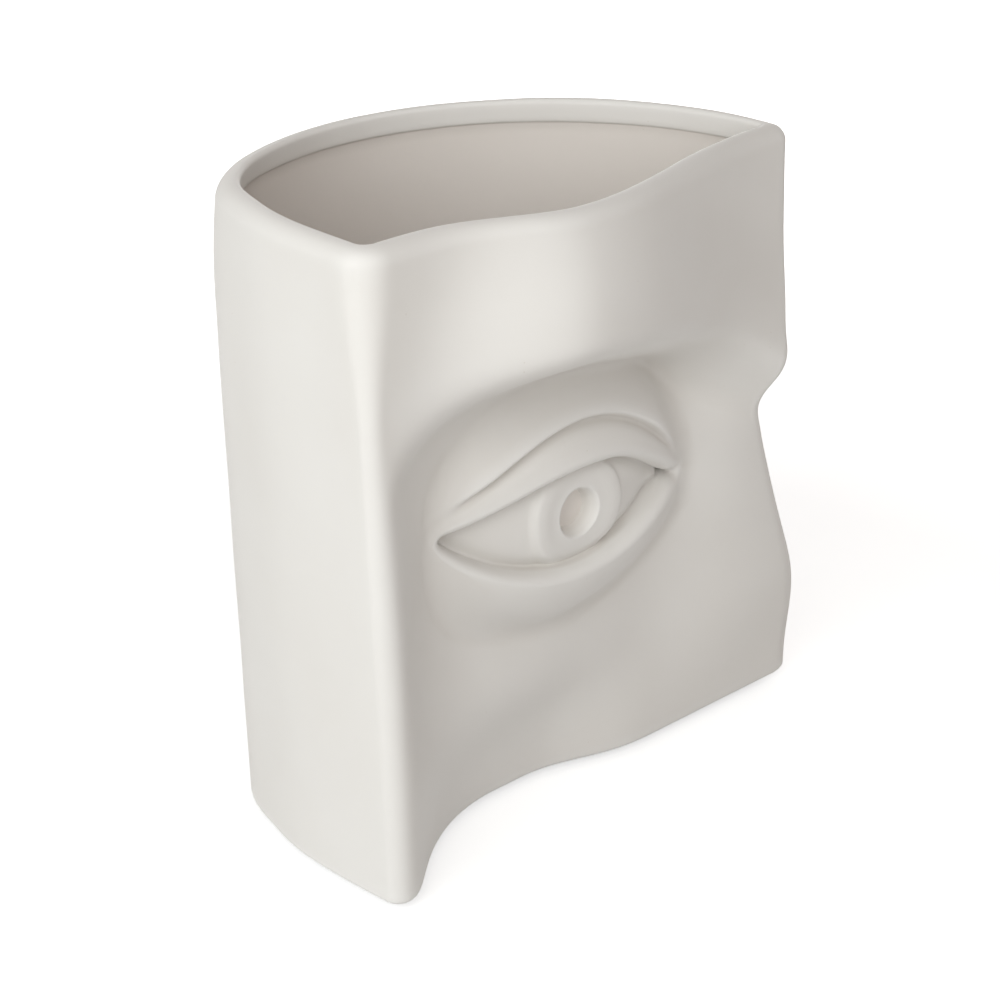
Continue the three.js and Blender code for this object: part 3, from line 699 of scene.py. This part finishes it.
walls = []
for z in np.linspace(FRONT_BOTTOM, FRONT_TOP, ROWS + 1):
    left = float(front_left(z))
    depths = -front_height(np.array([left, FRONT_RIGHT]), z)
    walls.append(wall_outline(z, 0, left, *depths.tolist()))
shell.grid(walls, False)
print("front and outer walls:", shell.count, "points")

# %% The lip's section
LIP_INNER_RADIUS = 1.5  # crisper than its outside
ROUNDING = 6  # steps in a quarter turn
quarter_turn = np.linspace(0, math.pi / 2, ROUNDING + 1)
LIP_DEPTH = 6.0  # from the rim down to the step inside the mouth
LIP_FACE_START = 1.0  # below the inner rounding
LIP_FACE_ROWS = 4
STEP_DROPS = (0.5, 0.8, 1.0)  # below the lip, where its underside turns into the wall
STEP_EASES = (0.2, 0.1)  # how far the turn starts behind the lip's face and ends before the wall's
lip_thickness = LIP_OUTER_RADIUS + LIP_INNER_RADIUS
step_z = BODY_HEIGHT - LIP_DEPTH
lip = []
for turn in np.linspace(0, math.pi / 2, 2 * ROUNDING + 1):
    inset = LIP_OUTER_RADIUS * (1 - math.cos(turn))
    lip.append((FRONT_TOP + LIP_OUTER_RADIUS * math.sin(turn), inset))
for turn in quarter_turn[1:]:
    inset = LIP_OUTER_RADIUS + LIP_INNER_RADIUS * math.sin(turn)
    lip.append((BODY_HEIGHT - LIP_INNER_RADIUS * (1 - math.cos(turn)), inset))
for z in np.linspace(BODY_HEIGHT - LIP_INNER_RADIUS - LIP_FACE_START, step_z, LIP_FACE_ROWS):
    lip.append((z, lip_thickness))
step_insets = (lip_thickness - STEP_EASES[0], WALL + STEP_EASES[1], WALL)
lip += [(step_z - drop, inset) for drop, inset in zip(STEP_DROPS, step_insets)]
print(f"lip {lip_thickness:.1f} mm thick, step {LIP_DEPTH:.1f} mm down")

# %% Lip, hollow and base
INSIDE_DROP = 0.6  # the hollow's bare clay and its painted shade start this far below the lip
CAVITY_START = 4.0  # first plain ring of the hollow, below the lip
CAVITY_ROWS = 50
FLOOR = 7.0
FLOOR_RADIUS = 8.0  # between the hollow's walls and its floor
rows, inside = [], []
for z, inset in lip:
    rows.append(vessel_ring(z, inset, lambda x: inset - front_height(x, FRONT_TOP)))
    inside.append(float(z < step_z - INSIDE_DROP))
low_z = FLOOR + FLOOR_RADIUS
for z in np.linspace(step_z - CAVITY_START, low_z, CAVITY_ROWS):
    rows.append(vessel_ring(z, WALL, lambda x: cavity_depth(x, z)))
for turn in quarter_turn[1:]:
    turned_in = FLOOR_RADIUS * (1 - math.cos(turn))
    z = low_z - FLOOR_RADIUS * math.sin(turn)
    rows.append(vessel_ring(z, WALL + turned_in, lambda x: turned_in + cavity_depth(x, low_z)))
inside += [1.0] * (len(rows) - len(inside))
shell.cap(shell.grid(rows, True, inside)[-1][::-1])

rows = []
for turn in np.linspace(math.pi / 2, 0, ROUNDING + 1):
    inset = FOOT_RADIUS * (1 - math.cos(turn))
    z = FOOT_RADIUS * (1 - math.sin(turn))
    rows.append(vessel_ring(z, inset, lambda x: inset - front_height(x, FRONT_BOTTOM)))
shell.cap(shell.grid(rows, True)[0])
vase_mesh = shell.mesh("vase_casting")

# %% [markdown]
# ## Where the glaze thins and gathers: painted highlight and painted shade
# A matt glaze pulls back from sharp edges and gathers in hollows, and that is most of what the eye
# sees on a white pot. Here it is painted into the colour: lighter on ridges and edges, a painted
# highlight, and darker and warmer in hollows, a painted shade. Blender's Pointiness could show the
# bend, but it depends on the mesh's density. Here the bend of the surface is measured once from the
# mesh itself, smoothed, and kept on the points.

# %% The glaze's painted highlight and shade on each point
BEND_LIMIT = 0.5  # per mm: a bend of 2 mm radius
LEAST_RUN = 1e-4  # mm squared
SMOOTHINGS = 12
SMOOTHING_SHARE = 0.5
FLAT_TONE = 0.5  # on a flat wall; 0 is bare and lightest, a painted highlight, and 1 a full hollow, a painted shade
BEND_PULL = 2.2  # mm, how strongly a bend thins or gathers the glaze: painted highlight on ridges, painted shade in hollows


def edge_mean(values, edges, count):
    """Each point's mean of its neighbours' values."""
    total = np.zeros((count, values.shape[1]))
    for a, b in ((0, 1), (1, 0)):
        for column in range(values.shape[1]):
            total[:, column] += np.bincount(edges[:, a], values[edges[:, b], column], count)
    return total / np.bincount(edges.ravel(), minlength=count)[:, None]


def measure_glaze_and_shade(mesh):
    count = len(mesh.vertices)
    points, normals = np.empty(count * 3), np.empty(count * 3)
    edges = np.empty(len(mesh.edges) * 2, dtype=np.int32)
    mesh.vertices.foreach_get("co", points)
    mesh.vertices.foreach_get("normal", normals)
    mesh.edges.foreach_get("vertices", edges)
    points, normals, edges = points.reshape(-1, 3) / MM, normals.reshape(-1, 3), edges.reshape(-1, 2)
    run = points[edges[:, 1]] - points[edges[:, 0]]
    bend = np.sum((normals[edges[:, 1]] - normals[edges[:, 0]]) * run, 1)
    bend = bend / np.maximum(np.sum(run**2, 1), LEAST_RUN)
    total = np.bincount(edges[:, 0], bend, count) + np.bincount(edges[:, 1], bend, count)
    curve = total / np.bincount(edges.ravel(), minlength=count)
    curve = np.clip(curve, -BEND_LIMIT, BEND_LIMIT)[:, None]
    for _ in range(SMOOTHINGS):
        curve = mix(curve, edge_mean(curve, edges, count), SMOOTHING_SHARE)
    # ridges lighten and hollows darken: painted highlight and painted shade, kept as the glaze's tone
    tone = np.clip(FLAT_TONE - curve[:, 0] * BEND_PULL, 0, 1)
    layer = mesh.attributes.new("glaze_and_shade", "FLOAT", "POINT")
    layer.data.foreach_set("value", tone.astype(np.float32))
    shares = np.percentile(tone, [5, 50, 95]).round(3)
    print("glaze thickness, 5th, 50th and 95th share:", shares)


measure_glaze_and_shade(vase_mesh)

# %% [markdown]
# ## Nodes by name
# Materials and Geometry Nodes are both trees of nodes. One helper fills a node's inputs, each with
# a value or with the output of another node, and another makes the node first, so that a tree reads
# from top to bottom. Wiring each socket by hand would take three lines for every one of these.

# %% Helpers for node trees
def fill(node, inputs):
    """Inputs maps a socket's name or number to a value or to another node's output."""
    for key, value in dict(inputs).items():
        if isinstance(value, bpy.types.NodeSocket):
            node.id_data.links.new(value, node.inputs[key])
        else:
            node.inputs[key].default_value = value


def add(tree, kind, inputs=(), **settings):
    made = tree.nodes.new(kind)
    for name, value in settings.items():
        setattr(made, name, value)
    fill(made, inputs)
    return made


def blend_colour(tree, share, a, b):
    """A Mix node between two colours: its inputs 6 and 7, its output 2."""
    return add(tree, "ShaderNodeMix", {0: share, 6: a, 7: b}, data_type="RGBA").outputs[2]


def between(tree, value, low, high, to_low, to_high):
    inputs = {"Value": value, "From Min": low, "From Max": high, "To Min": to_low, "To Max": to_high}
    return add(tree, "ShaderNodeMapRange", inputs).outputs["Result"]


def noise(tree, vector, scale, detail=2.0, roughness=0.5):
    inputs = {"Vector": vector, "Scale": scale, "Detail": detail, "Roughness": roughness}
    return add(tree, "ShaderNodeTexNoise", inputs).outputs["Fac"]


def new_material(name):
    material = bpy.data.materials.new(name)
    material.use_nodes = True
    return material, material.node_tree, material.node_tree.nodes["Principled BSDF"]


print("node helpers ready")

# %% [markdown]
# ## The white ceramic
# The clay fires to a warm white under a thin matt glaze. Four things keep it from looking like
# plastic: the colour drifts a little over the pot, the glaze is whiter where it is thin and warmer
# where it gathers, which paints highlight on the edges and shade in the hollows, fine specks of iron
# show through, and a grain far smaller than a millimetre breaks up the highlights.

# %% Ceramic colour
GLAZE_WHITE = (0.815, 0.805, 0.780, 1)
GLAZE_WARM = (0.790, 0.775, 0.745, 1)
# whiter where the glaze is thin, a painted highlight on edges, and darker and warmer where it gathers,
# a painted shade in hollows
THIN_GLAZE_HIGHLIGHT = (0.850, 0.845, 0.825, 1)
GATHERED_GLAZE_SHADE = (0.730, 0.710, 0.675, 1)
# the hollow is darker and warmer: partly the bare clay's own tone, partly painted shade where light
# bounces inside
INSIDE_CLAY_AND_SHADE = (0.800, 0.757, 0.715, 1)
IRON_SPECK = (0.560, 0.510, 0.440, 1)
DRIFT_SCALE = 16.0  # scales of noise are counts per metre
DRIFT_RANGE = (0.35, 0.65)
THIN_HIGHLIGHT_RANGE, THIN_HIGHLIGHT_SHARE = (0.42, 0.10), 0.75  # from and to this tone, and at most this share of painted highlight
GATHERED_SHADE_RANGE, GATHERED_SHADE_SHARE = (0.54, 0.85), 0.85
INSIDE_SHARE = 0.8
SPECK_SCALE = 210.0
SPECK_EDGE = (0.03, 0.06)  # in cells from a speck's middle
SPECK_CHOICE = (0.80, 0.90)  # cells with a higher random value have a speck
SPECK_SHARE = 0.30

ceramic, tree, shader = new_material("matt_white_ceramic")
place_on_pot = add(tree, "ShaderNodeTexCoord").outputs["Object"]
glaze_and_shade = add(tree, "ShaderNodeAttribute", attribute_name="glaze_and_shade").outputs["Fac"]
hollow = add(tree, "ShaderNodeAttribute", attribute_name="inside").outputs["Fac"]

drift = between(tree, noise(tree, place_on_pot, DRIFT_SCALE, detail=3), *DRIFT_RANGE, 0, 1)
colour = blend_colour(tree, drift, GLAZE_WHITE, GLAZE_WARM)
for share, paint in (
    # painted highlight on the edges and painted shade in the hollows, by the glaze's tone
    (between(tree, glaze_and_shade, *THIN_HIGHLIGHT_RANGE, 0, THIN_HIGHLIGHT_SHARE), THIN_GLAZE_HIGHLIGHT),
    (between(tree, glaze_and_shade, *GATHERED_SHADE_RANGE, 0, GATHERED_SHADE_SHARE), GATHERED_GLAZE_SHADE),
    # the hollow's clay, partly its own warmer tone and partly painted shade
    (between(tree, hollow, 0, 1, 0, INSIDE_SHARE), INSIDE_CLAY_AND_SHADE),
):
    colour = blend_colour(tree, share, colour, paint)

cells = add(tree, "ShaderNodeTexVoronoi", {"Vector": place_on_pot, "Scale": SPECK_SCALE})
near_speck = between(tree, cells.outputs["Distance"], *SPECK_EDGE, 1, 0)
chosen = add(tree, "ShaderNodeSeparateColor", {"Color": cells.outputs["Color"]}).outputs["Red"]
kept = between(tree, chosen, *SPECK_CHOICE, 0, SPECK_SHARE)
speck = add(tree, "ShaderNodeMath", {0: near_speck, 1: kept}, operation="MULTIPLY").outputs[0]
colour = blend_colour(tree, speck, colour, IRON_SPECK)
fill(shader, {"Base Color": colour})
print(ceramic.name, "has", len(tree.nodes), "nodes for its colour")

# %% Ceramic surface
ROUGH_SCALE = 55.0
ROUGH_RANGE = (0.3, 0.7)
ROUGHNESS = (0.52, 0.62)
DRY_INSIDE = 0.12  # roughness added in the hollow
SWELL_SCALE = 130.0
SWELL_BUMP = {"Strength": 0.10, "Distance": 0.6 * MM}
GRAIN_SCALE = 1500.0
GRAIN_BUMP = {"Strength": 0.12, "Distance": 0.15 * MM}

patches = between(tree, noise(tree, place_on_pot, ROUGH_SCALE, detail=3), *ROUGH_RANGE, *ROUGHNESS)
dry = between(tree, hollow, 0, 1, 0, DRY_INSIDE)
rough = add(tree, "ShaderNodeMath", {0: patches, 1: dry}, operation="ADD").outputs[0]

swells = {"Height": noise(tree, place_on_pot, SWELL_SCALE), **SWELL_BUMP}
swelling = add(tree, "ShaderNodeBump", swells).outputs["Normal"]
grain = {"Height": noise(tree, place_on_pot, GRAIN_SCALE, detail=4, roughness=0.6), **GRAIN_BUMP}
fine = add(tree, "ShaderNodeBump", {**grain, "Normal": swelling}).outputs["Normal"]
fill(shader, {"Roughness": rough, "Specular IOR Level": 0.35, "Normal": fine})
print(ceramic.name, "has", len(tree.nodes), "nodes")

# %% [markdown]
# ## Walls that were sponged by hand
# A casting is trimmed and sponged before it is fired, so its flat wall is never quite flat.
# Geometry Nodes give the whole casting that rule: each point moves along its normal by a slow noise
# of a fraction of a millimetre. The foot is left out, because it was rubbed flat on a board.

# %% Helpers for Geometry Nodes
def new_geometry_tree(name, sizes):
    """An empty tree with a geometry, named sizes and a material as its inputs."""
    tree = bpy.data.node_groups.new(name, "GeometryNodeTree")
    sockets = {"Geometry": "NodeSocketGeometry", **sizes, "Finish": "NodeSocketMaterial"}
    for socket, kind in sockets.items():
        tree.interface.new_socket(socket, in_out="INPUT", socket_type=kind)
    tree.interface.new_socket("Geometry", in_out="OUTPUT", socket_type="NodeSocketGeometry")
    return tree, tree.nodes.new("NodeGroupInput").outputs


def end_tree(tree, geometry, finish):
    whole = add(tree, "GeometryNodeRealizeInstances", {"Geometry": geometry}).outputs[0]
    painted = add(tree, "GeometryNodeSetMaterial", {"Geometry": whole, "Material": finish}).outputs[0]
    add(tree, "NodeGroupOutput", {"Geometry": painted})


def math_node(tree, operation, *values):
    return add(tree, "ShaderNodeMath", dict(enumerate(values)), operation=operation).outputs[0]


put_in_scene = bpy.context.scene.collection.objects.link


def run_tree(tree, mesh, name, values):
    """Runs a tree on a mesh with named input values, and returns the result as a plain object."""
    maker = bpy.data.objects.new(name + "_maker", mesh)
    put_in_scene(maker)
    modifier = maker.modifiers.new(name, "NODES")
    modifier.node_group = tree
    identifiers = {s.name: s.identifier for s in tree.interface.items_tree if s.in_out == "INPUT"}
    for key, value in values.items():
        modifier[identifiers[key]] = value
    evaluated = maker.evaluated_get(bpy.context.evaluated_depsgraph_get())
    made = bpy.data.meshes.new_from_object(evaluated)
    made.name = name
    piece = bpy.data.objects.new(name, made)
    put_in_scene(piece)
    maker.modifiers.remove(modifier)
    bpy.data.objects.remove(maker)
    triangles = sum(len(polygon.vertices) - 2 for polygon in made.polygons)
    print(f"{name}: {len(made.vertices)} points, {triangles} triangles")
    return piece


FLOAT, INTEGER = "NodeSocketFloat", "NodeSocketInt"
print("Geometry Nodes helpers ready")

# %% The sponged casting
sponged, given = new_geometry_tree(
    "sponged_casting", {"Wave Height": FLOAT, "Wave Scale": FLOAT, "Flat Foot": FLOAT, "Seed": FLOAT}
)
node, calc = partial(add, sponged), partial(math_node, sponged)
position = node("GeometryNodeInputPosition").outputs[0]
waves = node(
    "ShaderNodeTexNoise",
    {"Vector": position, "W": given["Seed"], "Scale": given["Wave Scale"], "Detail": 1.0},
    noise_dimensions="4D",
).outputs["Fac"]
height_up = node("ShaderNodeSeparateXYZ", {0: position}).outputs["Z"]
above_foot = calc("SUBTRACT", calc("DIVIDE", height_up, given["Flat Foot"]), 1.0)
above_foot = calc("MINIMUM", calc("MAXIMUM", above_foot, 0.0), 1.0)
lift = calc("MULTIPLY", calc("SUBTRACT", waves, 0.5), given["Wave Height"])
lift = calc("MULTIPLY", lift, above_foot)
normal = node("GeometryNodeInputNormal").outputs[0]
offset = node("ShaderNodeVectorMath", {0: normal, "Scale": lift}, operation="SCALE").outputs[0]
moved = node("GeometryNodeSetPosition", {"Geometry": given["Geometry"], "Offset": offset}).outputs[0]
end_tree(sponged, moved, given["Finish"])

vase = run_tree(
    sponged,
    vase_mesh,
    "vase_casting",
    {"Wave Height": 1.0 * MM, "Wave Scale": 22.0, "Flat Foot": 12 * MM, "Seed": 4.0, "Finish": ceramic},
)
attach(vase, "root")
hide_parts("vase_body")

# %% [markdown]
# ## Grey pressed felt
# The pads are cut from sheets of pressed wool: a grey made of lighter and darker fibres that lie
# every way, with no weave and no gloss. Stretched noise gives the fibres, and a little sheen the
# soft rim of light that loose fibres catch.

# %% Felt
FELT_DARK = (0.20, 0.19, 0.175, 1)
FELT_LIGHT = (0.44, 0.42, 0.39, 1)
FIBRE_LAYERS = ((1, 3, 0.5), (3, 1, -0.4))  # stretch in x and in y, and turn in radians
FIBRE_SCALE = 900.0
FIBRE_TONES = (0.40, 0.75)  # noise at the darkest and the lightest fibres
FIBRE_GLOSS = (0.3, 0.8)  # noise at the two ends of the roughness
FELT_ROUGHNESS = (1.0, 0.86)

felt, tree, shader = new_material("grey_felt")
on_pad = add(tree, "ShaderNodeTexCoord").outputs["Object"]
wisps = []
for stretch_x, stretch_y, turn in FIBRE_LAYERS:
    lay = {"Vector": on_pad, "Scale": (stretch_x, stretch_y, 1), "Rotation": (0, 0, turn)}
    laid = add(tree, "ShaderNodeMapping", lay).outputs[0]
    wisps.append(noise(tree, laid, FIBRE_SCALE, detail=4, roughness=0.7))
fibres = math_node(tree, "MAXIMUM", *wisps)
wool = blend_colour(tree, between(tree, fibres, *FIBRE_TONES, 0, 1), FELT_DARK, FELT_LIGHT)
dull = between(tree, fibres, *FIBRE_GLOSS, *FELT_ROUGHNESS)
ruffle = add(tree, "ShaderNodeBump", {"Height": fibres, "Strength": 0.6, "Distance": 0.3 * MM})
fill(shader, {"Base Color": wool, "Roughness": dull, "Normal": ruffle.outputs["Normal"]})
fill(shader, {"Sheen Weight": 0.35, "Sheen Roughness": 0.6, "Specular IOR Level": 0.1})
print(felt.name, "has", len(tree.nodes), "nodes")

# %% [markdown]
# ## Four pads and their fuzz
# The pads are the same piece four times, so Geometry Nodes make one and place it on four points.
# The pad is a cylinder whose edges are eased by a circle's formula. Short bent fibres are scattered
# over its cut side, where a punched felt pad frays.

# %% A pad with eased edges
PAD_NODES = (
    "foot_pad_front_left",
    "foot_pad_back_left",
    "foot_pad_back_right",
    "foot_pad_front_right",
)
pad_low, pad_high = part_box(PAD_NODES[0])
pad_size = pad_high - pad_low

pad_inputs = ["Pad Radius", "Pad Thickness", "Edge Radius"]
pad_inputs += ["Fibre Length", "Fibre Radius", "Fibres per Area"]
pads_tree, given = new_geometry_tree("felt_pads", {**dict.fromkeys(pad_inputs, FLOAT), "Seed": INTEGER})
node, calc = partial(add, pads_tree), partial(math_node, pads_tree)
disc = node(
    "GeometryNodeMeshCylinder",
    {
        "Vertices": 72,
        "Side Segments": 8,
        "Fill Segments": 5,
        "Radius": given["Pad Radius"],
        "Depth": given["Pad Thickness"],
    },
    fill_type="TRIANGLE_FAN",
).outputs["Mesh"]
where = node("ShaderNodeSeparateXYZ", {0: node("GeometryNodeInputPosition").outputs[0]}).outputs
half = calc("MULTIPLY", given["Pad Thickness"], 0.5)
over = calc("SUBTRACT", calc("ABSOLUTE", where["Z"]), half)
over = calc("MAXIMUM", calc("ADD", over, given["Edge Radius"]), 0.0)
over = calc("MINIMUM", calc("DIVIDE", over, given["Edge Radius"]), 1.0)
cosine = calc("SQRT", calc("SUBTRACT", 1.0, calc("MULTIPLY", over, over)))
inwards = calc("MULTIPLY", calc("SUBTRACT", 1.0, cosine), given["Edge Radius"])
kept_share = calc("SUBTRACT", 1.0, calc("DIVIDE", inwards, given["Pad Radius"]))
drawn_in = {axis: calc("MULTIPLY", where[axis], kept_share) for axis in "XY"}
eased = node("ShaderNodeCombineXYZ", {**drawn_in, "Z": where["Z"]}).outputs[0]
disc = node("GeometryNodeSetPosition", {"Geometry": disc, "Position": eased}).outputs[0]
print("pad, mm:", [round(side / MM, 1) for side in pad_size])

# %% Fuzz on its cut side
CUT_SIDE = 0.2  # a face whose normal rises or falls less than this is on the cut side
FIBRE_LEAN = 0.35  # radians
FIBRE_SPIN = 6.283  # a full turn
length = given["Fibre Length"]
bent = node(
    "GeometryNodeCurveQuadraticBezier",
    {
        "Resolution": 4,
        "Start": (0, 0, 0),
        "Middle": node("ShaderNodeCombineXYZ", {"Z": length}).outputs[0],
        "End": node("ShaderNodeCombineXYZ", {"X": length, "Z": length}).outputs[0],
    },
).outputs[0]
circle = {"Resolution": 3, "Radius": given["Fibre Radius"]}
thread = node("GeometryNodeCurvePrimitiveCircle", circle).outputs[0]
tube = {"Curve": bent, "Profile Curve": thread, "Fill Caps": True}
fibre = node("GeometryNodeCurveToMesh", tube).outputs[0]
normal = node("GeometryNodeInputNormal").outputs[0]
normal_z = node("ShaderNodeSeparateXYZ", {0: normal}).outputs["Z"]
steepness = {"A": calc("ABSOLUTE", normal_z), "B": CUT_SIDE}
upright = node("FunctionNodeCompare", steepness, operation="LESS_THAN").outputs[0]
scattered = node(
    "GeometryNodeDistributePointsOnFaces",
    {"Mesh": disc, "Selection": upright, "Density": given["Fibres per Area"], "Seed": given["Seed"]},
).outputs
limits = {0: (-FIBRE_LEAN, -FIBRE_LEAN, 0.0), 1: (FIBRE_LEAN, FIBRE_LEAN, FIBRE_SPIN)}
spun = node(
    "FunctionNodeRandomValue", {**limits, "Seed": given["Seed"]}, data_type="FLOAT_VECTOR"
).outputs[0]
turned = node(
    "FunctionNodeRotateRotation",
    {
        "Rotation": scattered["Rotation"],
        "Rotate By": node("FunctionNodeEulerToRotation", {0: spun}).outputs[0],
    },
    rotation_space="LOCAL",
).outputs[0]
hairs = {"Points": scattered["Points"], "Instance": fibre, "Rotation": turned}
fuzz = node("GeometryNodeInstanceOnPoints", hairs).outputs[0]
joined = node("GeometryNodeJoinGeometry")
pads_tree.links.new(disc, joined.inputs[0])
pads_tree.links.new(fuzz, joined.inputs[0])
each = {"Points": given["Geometry"], "Instance": joined.outputs[0]}
end_tree(pads_tree, node("GeometryNodeInstanceOnPoints", each).outputs[0], given["Finish"])
print(pads_tree.name, "has", len(pads_tree.nodes), "nodes")

# %% Place the pads under the base
pad_centres = []
for pad in PAD_NODES:
    low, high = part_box(pad)
    pad_centres.append((low + high) / 2)
pad_points = bpy.data.meshes.new("pad_points")
pad_points.from_pydata([tuple(c) for c in pad_centres], [], [])
pads = run_tree(
    pads_tree,
    pad_points,
    "felt_pads",
    {
        "Pad Radius": pad_size.x / 2,
        "Pad Thickness": pad_size.z,
        "Edge Radius": 0.5 * MM,
        "Fibre Length": 0.28 * MM,
        "Fibre Radius": 0.03 * MM,
        "Fibres per Area": 3.0e6,
        "Seed": 7,
        "Finish": felt,
    },
)
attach(pads, "root")
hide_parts(*PAD_NODES)

# %% [markdown]
# ## Floor and light
# A white pot on a white ground is all soft shade. Two softboxes stand to the left, as a row of
# windows would, one in front and above, and two behind, and a dim room fills the rest. The floor is
# plain pale paper to the rays that carry light. To the camera and in reflections it also glows,
# less near the pot, so that the ground is white in the picture and still keeps the shade round the
# foot.

# %% Floor
def white_to_camera(tree):
    """1 for rays from the camera or from a reflection, 0 for rays that carry light."""
    path = add(tree, "ShaderNodeLightPath").outputs
    seen = math_node(tree, "MAXIMUM", path["Is Camera Ray"], path["Is Glossy Ray"])
    return math_node(tree, "MAXIMUM", seen, path["Is Transmission Ray"])


FLOOR_REACH = 4.0
FLOOR_GREY = (0.76, 0.78)
GLOW_NEAR, GLOW_FAR = 0.53, 0.85  # lifts the lit floor to white and leaves the shade at the foot
GLOW_START, GLOW_END = 0.2, 0.5  # from the pot's middle
GLOW_COLOUR = (0.98, 0.99, 1.0, 1)
PAPER_SCALE = 40.0
floor_mesh = bpy.data.meshes.new("floor")
corners = [(x * FLOOR_REACH, y * FLOOR_REACH, 0) for x, y in ((-1, -1), (1, -1), (1, 1), (-1, 1))]
floor_mesh.from_pydata(corners, [], [(0, 1, 2, 3)])
floor = bpy.data.objects.new("floor", floor_mesh)
put_in_scene(floor)
paper, tree, shader = new_material("white_paper")
on_floor = add(tree, "ShaderNodeTexCoord").outputs["Object"]
faint = between(tree, noise(tree, on_floor, PAPER_SCALE, detail=3), 0, 1, *FLOOR_GREY)
away = add(tree, "ShaderNodeVectorMath", {0: on_floor}, operation="LENGTH").outputs["Value"]
glow = between(tree, away, GLOW_START, GLOW_END, GLOW_NEAR, GLOW_FAR)
glow = math_node(tree, "MULTIPLY", white_to_camera(tree), glow)
fill(shader, {"Base Color": faint, "Roughness": 0.9})
fill(shader, {"Emission Color": GLOW_COLOUR, "Emission Strength": glow})
floor_mesh.materials.append(paper)
print("floor", 2 * FLOOR_REACH, "m wide, white from", GLOW_END, "m out")

# %% Room and softboxes
world = bpy.data.worlds.new("pale_room")
world.use_nodes = True
bpy.context.scene.world = world
room = world.node_tree
ROOM_LIGHT = (0.269, 0.240, 0.223, 1)
shown = blend_colour(room, white_to_camera(room), ROOM_LIGHT, (1, 1, 1, 1))
fill(room.nodes["Background"], {"Color": shown})

VIEW_POINT = (64.85, 25.2, 93.5)  # mm from the walls, about the vase's middle
vase_middle = Vector(to_part(VIEW_POINT))


def towards(azimuth, elevation):
    a, e = math.radians(azimuth), math.radians(elevation)
    return Vector((math.sin(a) * math.cos(e), -math.cos(a) * math.cos(e), math.sin(e)))


def softbox(name, azimuth, elevation, distance, width, height, watts, colour):
    """An area light that looks at the vase's middle. Angles are in degrees, as for the camera."""
    lamp = bpy.data.lights.new(name, "AREA")
    lamp.shape = "RECTANGLE"
    lamp.size, lamp.size_y, lamp.energy, lamp.color = width, height, watts, colour
    holder = bpy.data.objects.new(name, lamp)
    holder.location = vase_middle + towards(azimuth, elevation) * distance
    holder.rotation_euler = towards(azimuth, elevation).to_track_quat("Z", "Y").to_euler()
    put_in_scene(holder)
    print(name, [round(v, 2) for v in holder.location], watts, "W")


DAYLIGHT = (0.965, 1.0, 0.995)
LAMPLIGHT = (1.0, 0.990, 0.975)
# degrees round and up, then metres away, wide and high, watts and colour
softbox("window_left", -70, 28, 1.0, 0.6, 0.8, 3.7, DAYLIGHT)
softbox("window_low", -95, 12, 0.9, 0.6, 0.8, 1.6, DAYLIGHT)
softbox("front_high", -30, 35, 1.0, 0.6, 0.8, 2.9, LAMPLIGHT)
softbox("behind", 170, 25, 1.2, 0.8, 0.8, 1.4, LAMPLIGHT)
softbox("behind_low", 125, 8, 1.0, 0.8, 0.3, 3.0, LAMPLIGHT)

# %% [markdown]
# ## Camera
# The picture was taken from a little above, between the flat wall and the relief, with a long lens
# that was held about a degree off level. The distance and the focal length were found together from
# how much the rim and the foot converge.

# %% Camera
CAMERA_AZIMUTH, CAMERA_ELEVATION, CAMERA_ROLL = -41.5, 25.0, -1.15  # degrees
CAMERA_DISTANCE = 0.6475
FOCAL_LENGTH = 84.6  # mm
NEAR_LIMIT = 0.01
lens = bpy.data.cameras.new("camera")
lens.lens = FOCAL_LENGTH
lens.clip_start = NEAR_LIMIT
camera = bpy.data.objects.new("camera", lens)
out_of_screen = towards(CAMERA_AZIMUTH, CAMERA_ELEVATION)
camera.location = vase_middle + out_of_screen * CAMERA_DISTANCE
roll = Quaternion((0, 0, 1), math.radians(CAMERA_ROLL))
camera.rotation_euler = (out_of_screen.to_track_quat("Z", "Y") @ roll).to_euler()
put_in_scene(camera)
bpy.context.scene.camera = camera
bpy.context.scene.view_settings.view_transform = "Standard"
print("camera at", [round(v, 3) for v in camera.location])
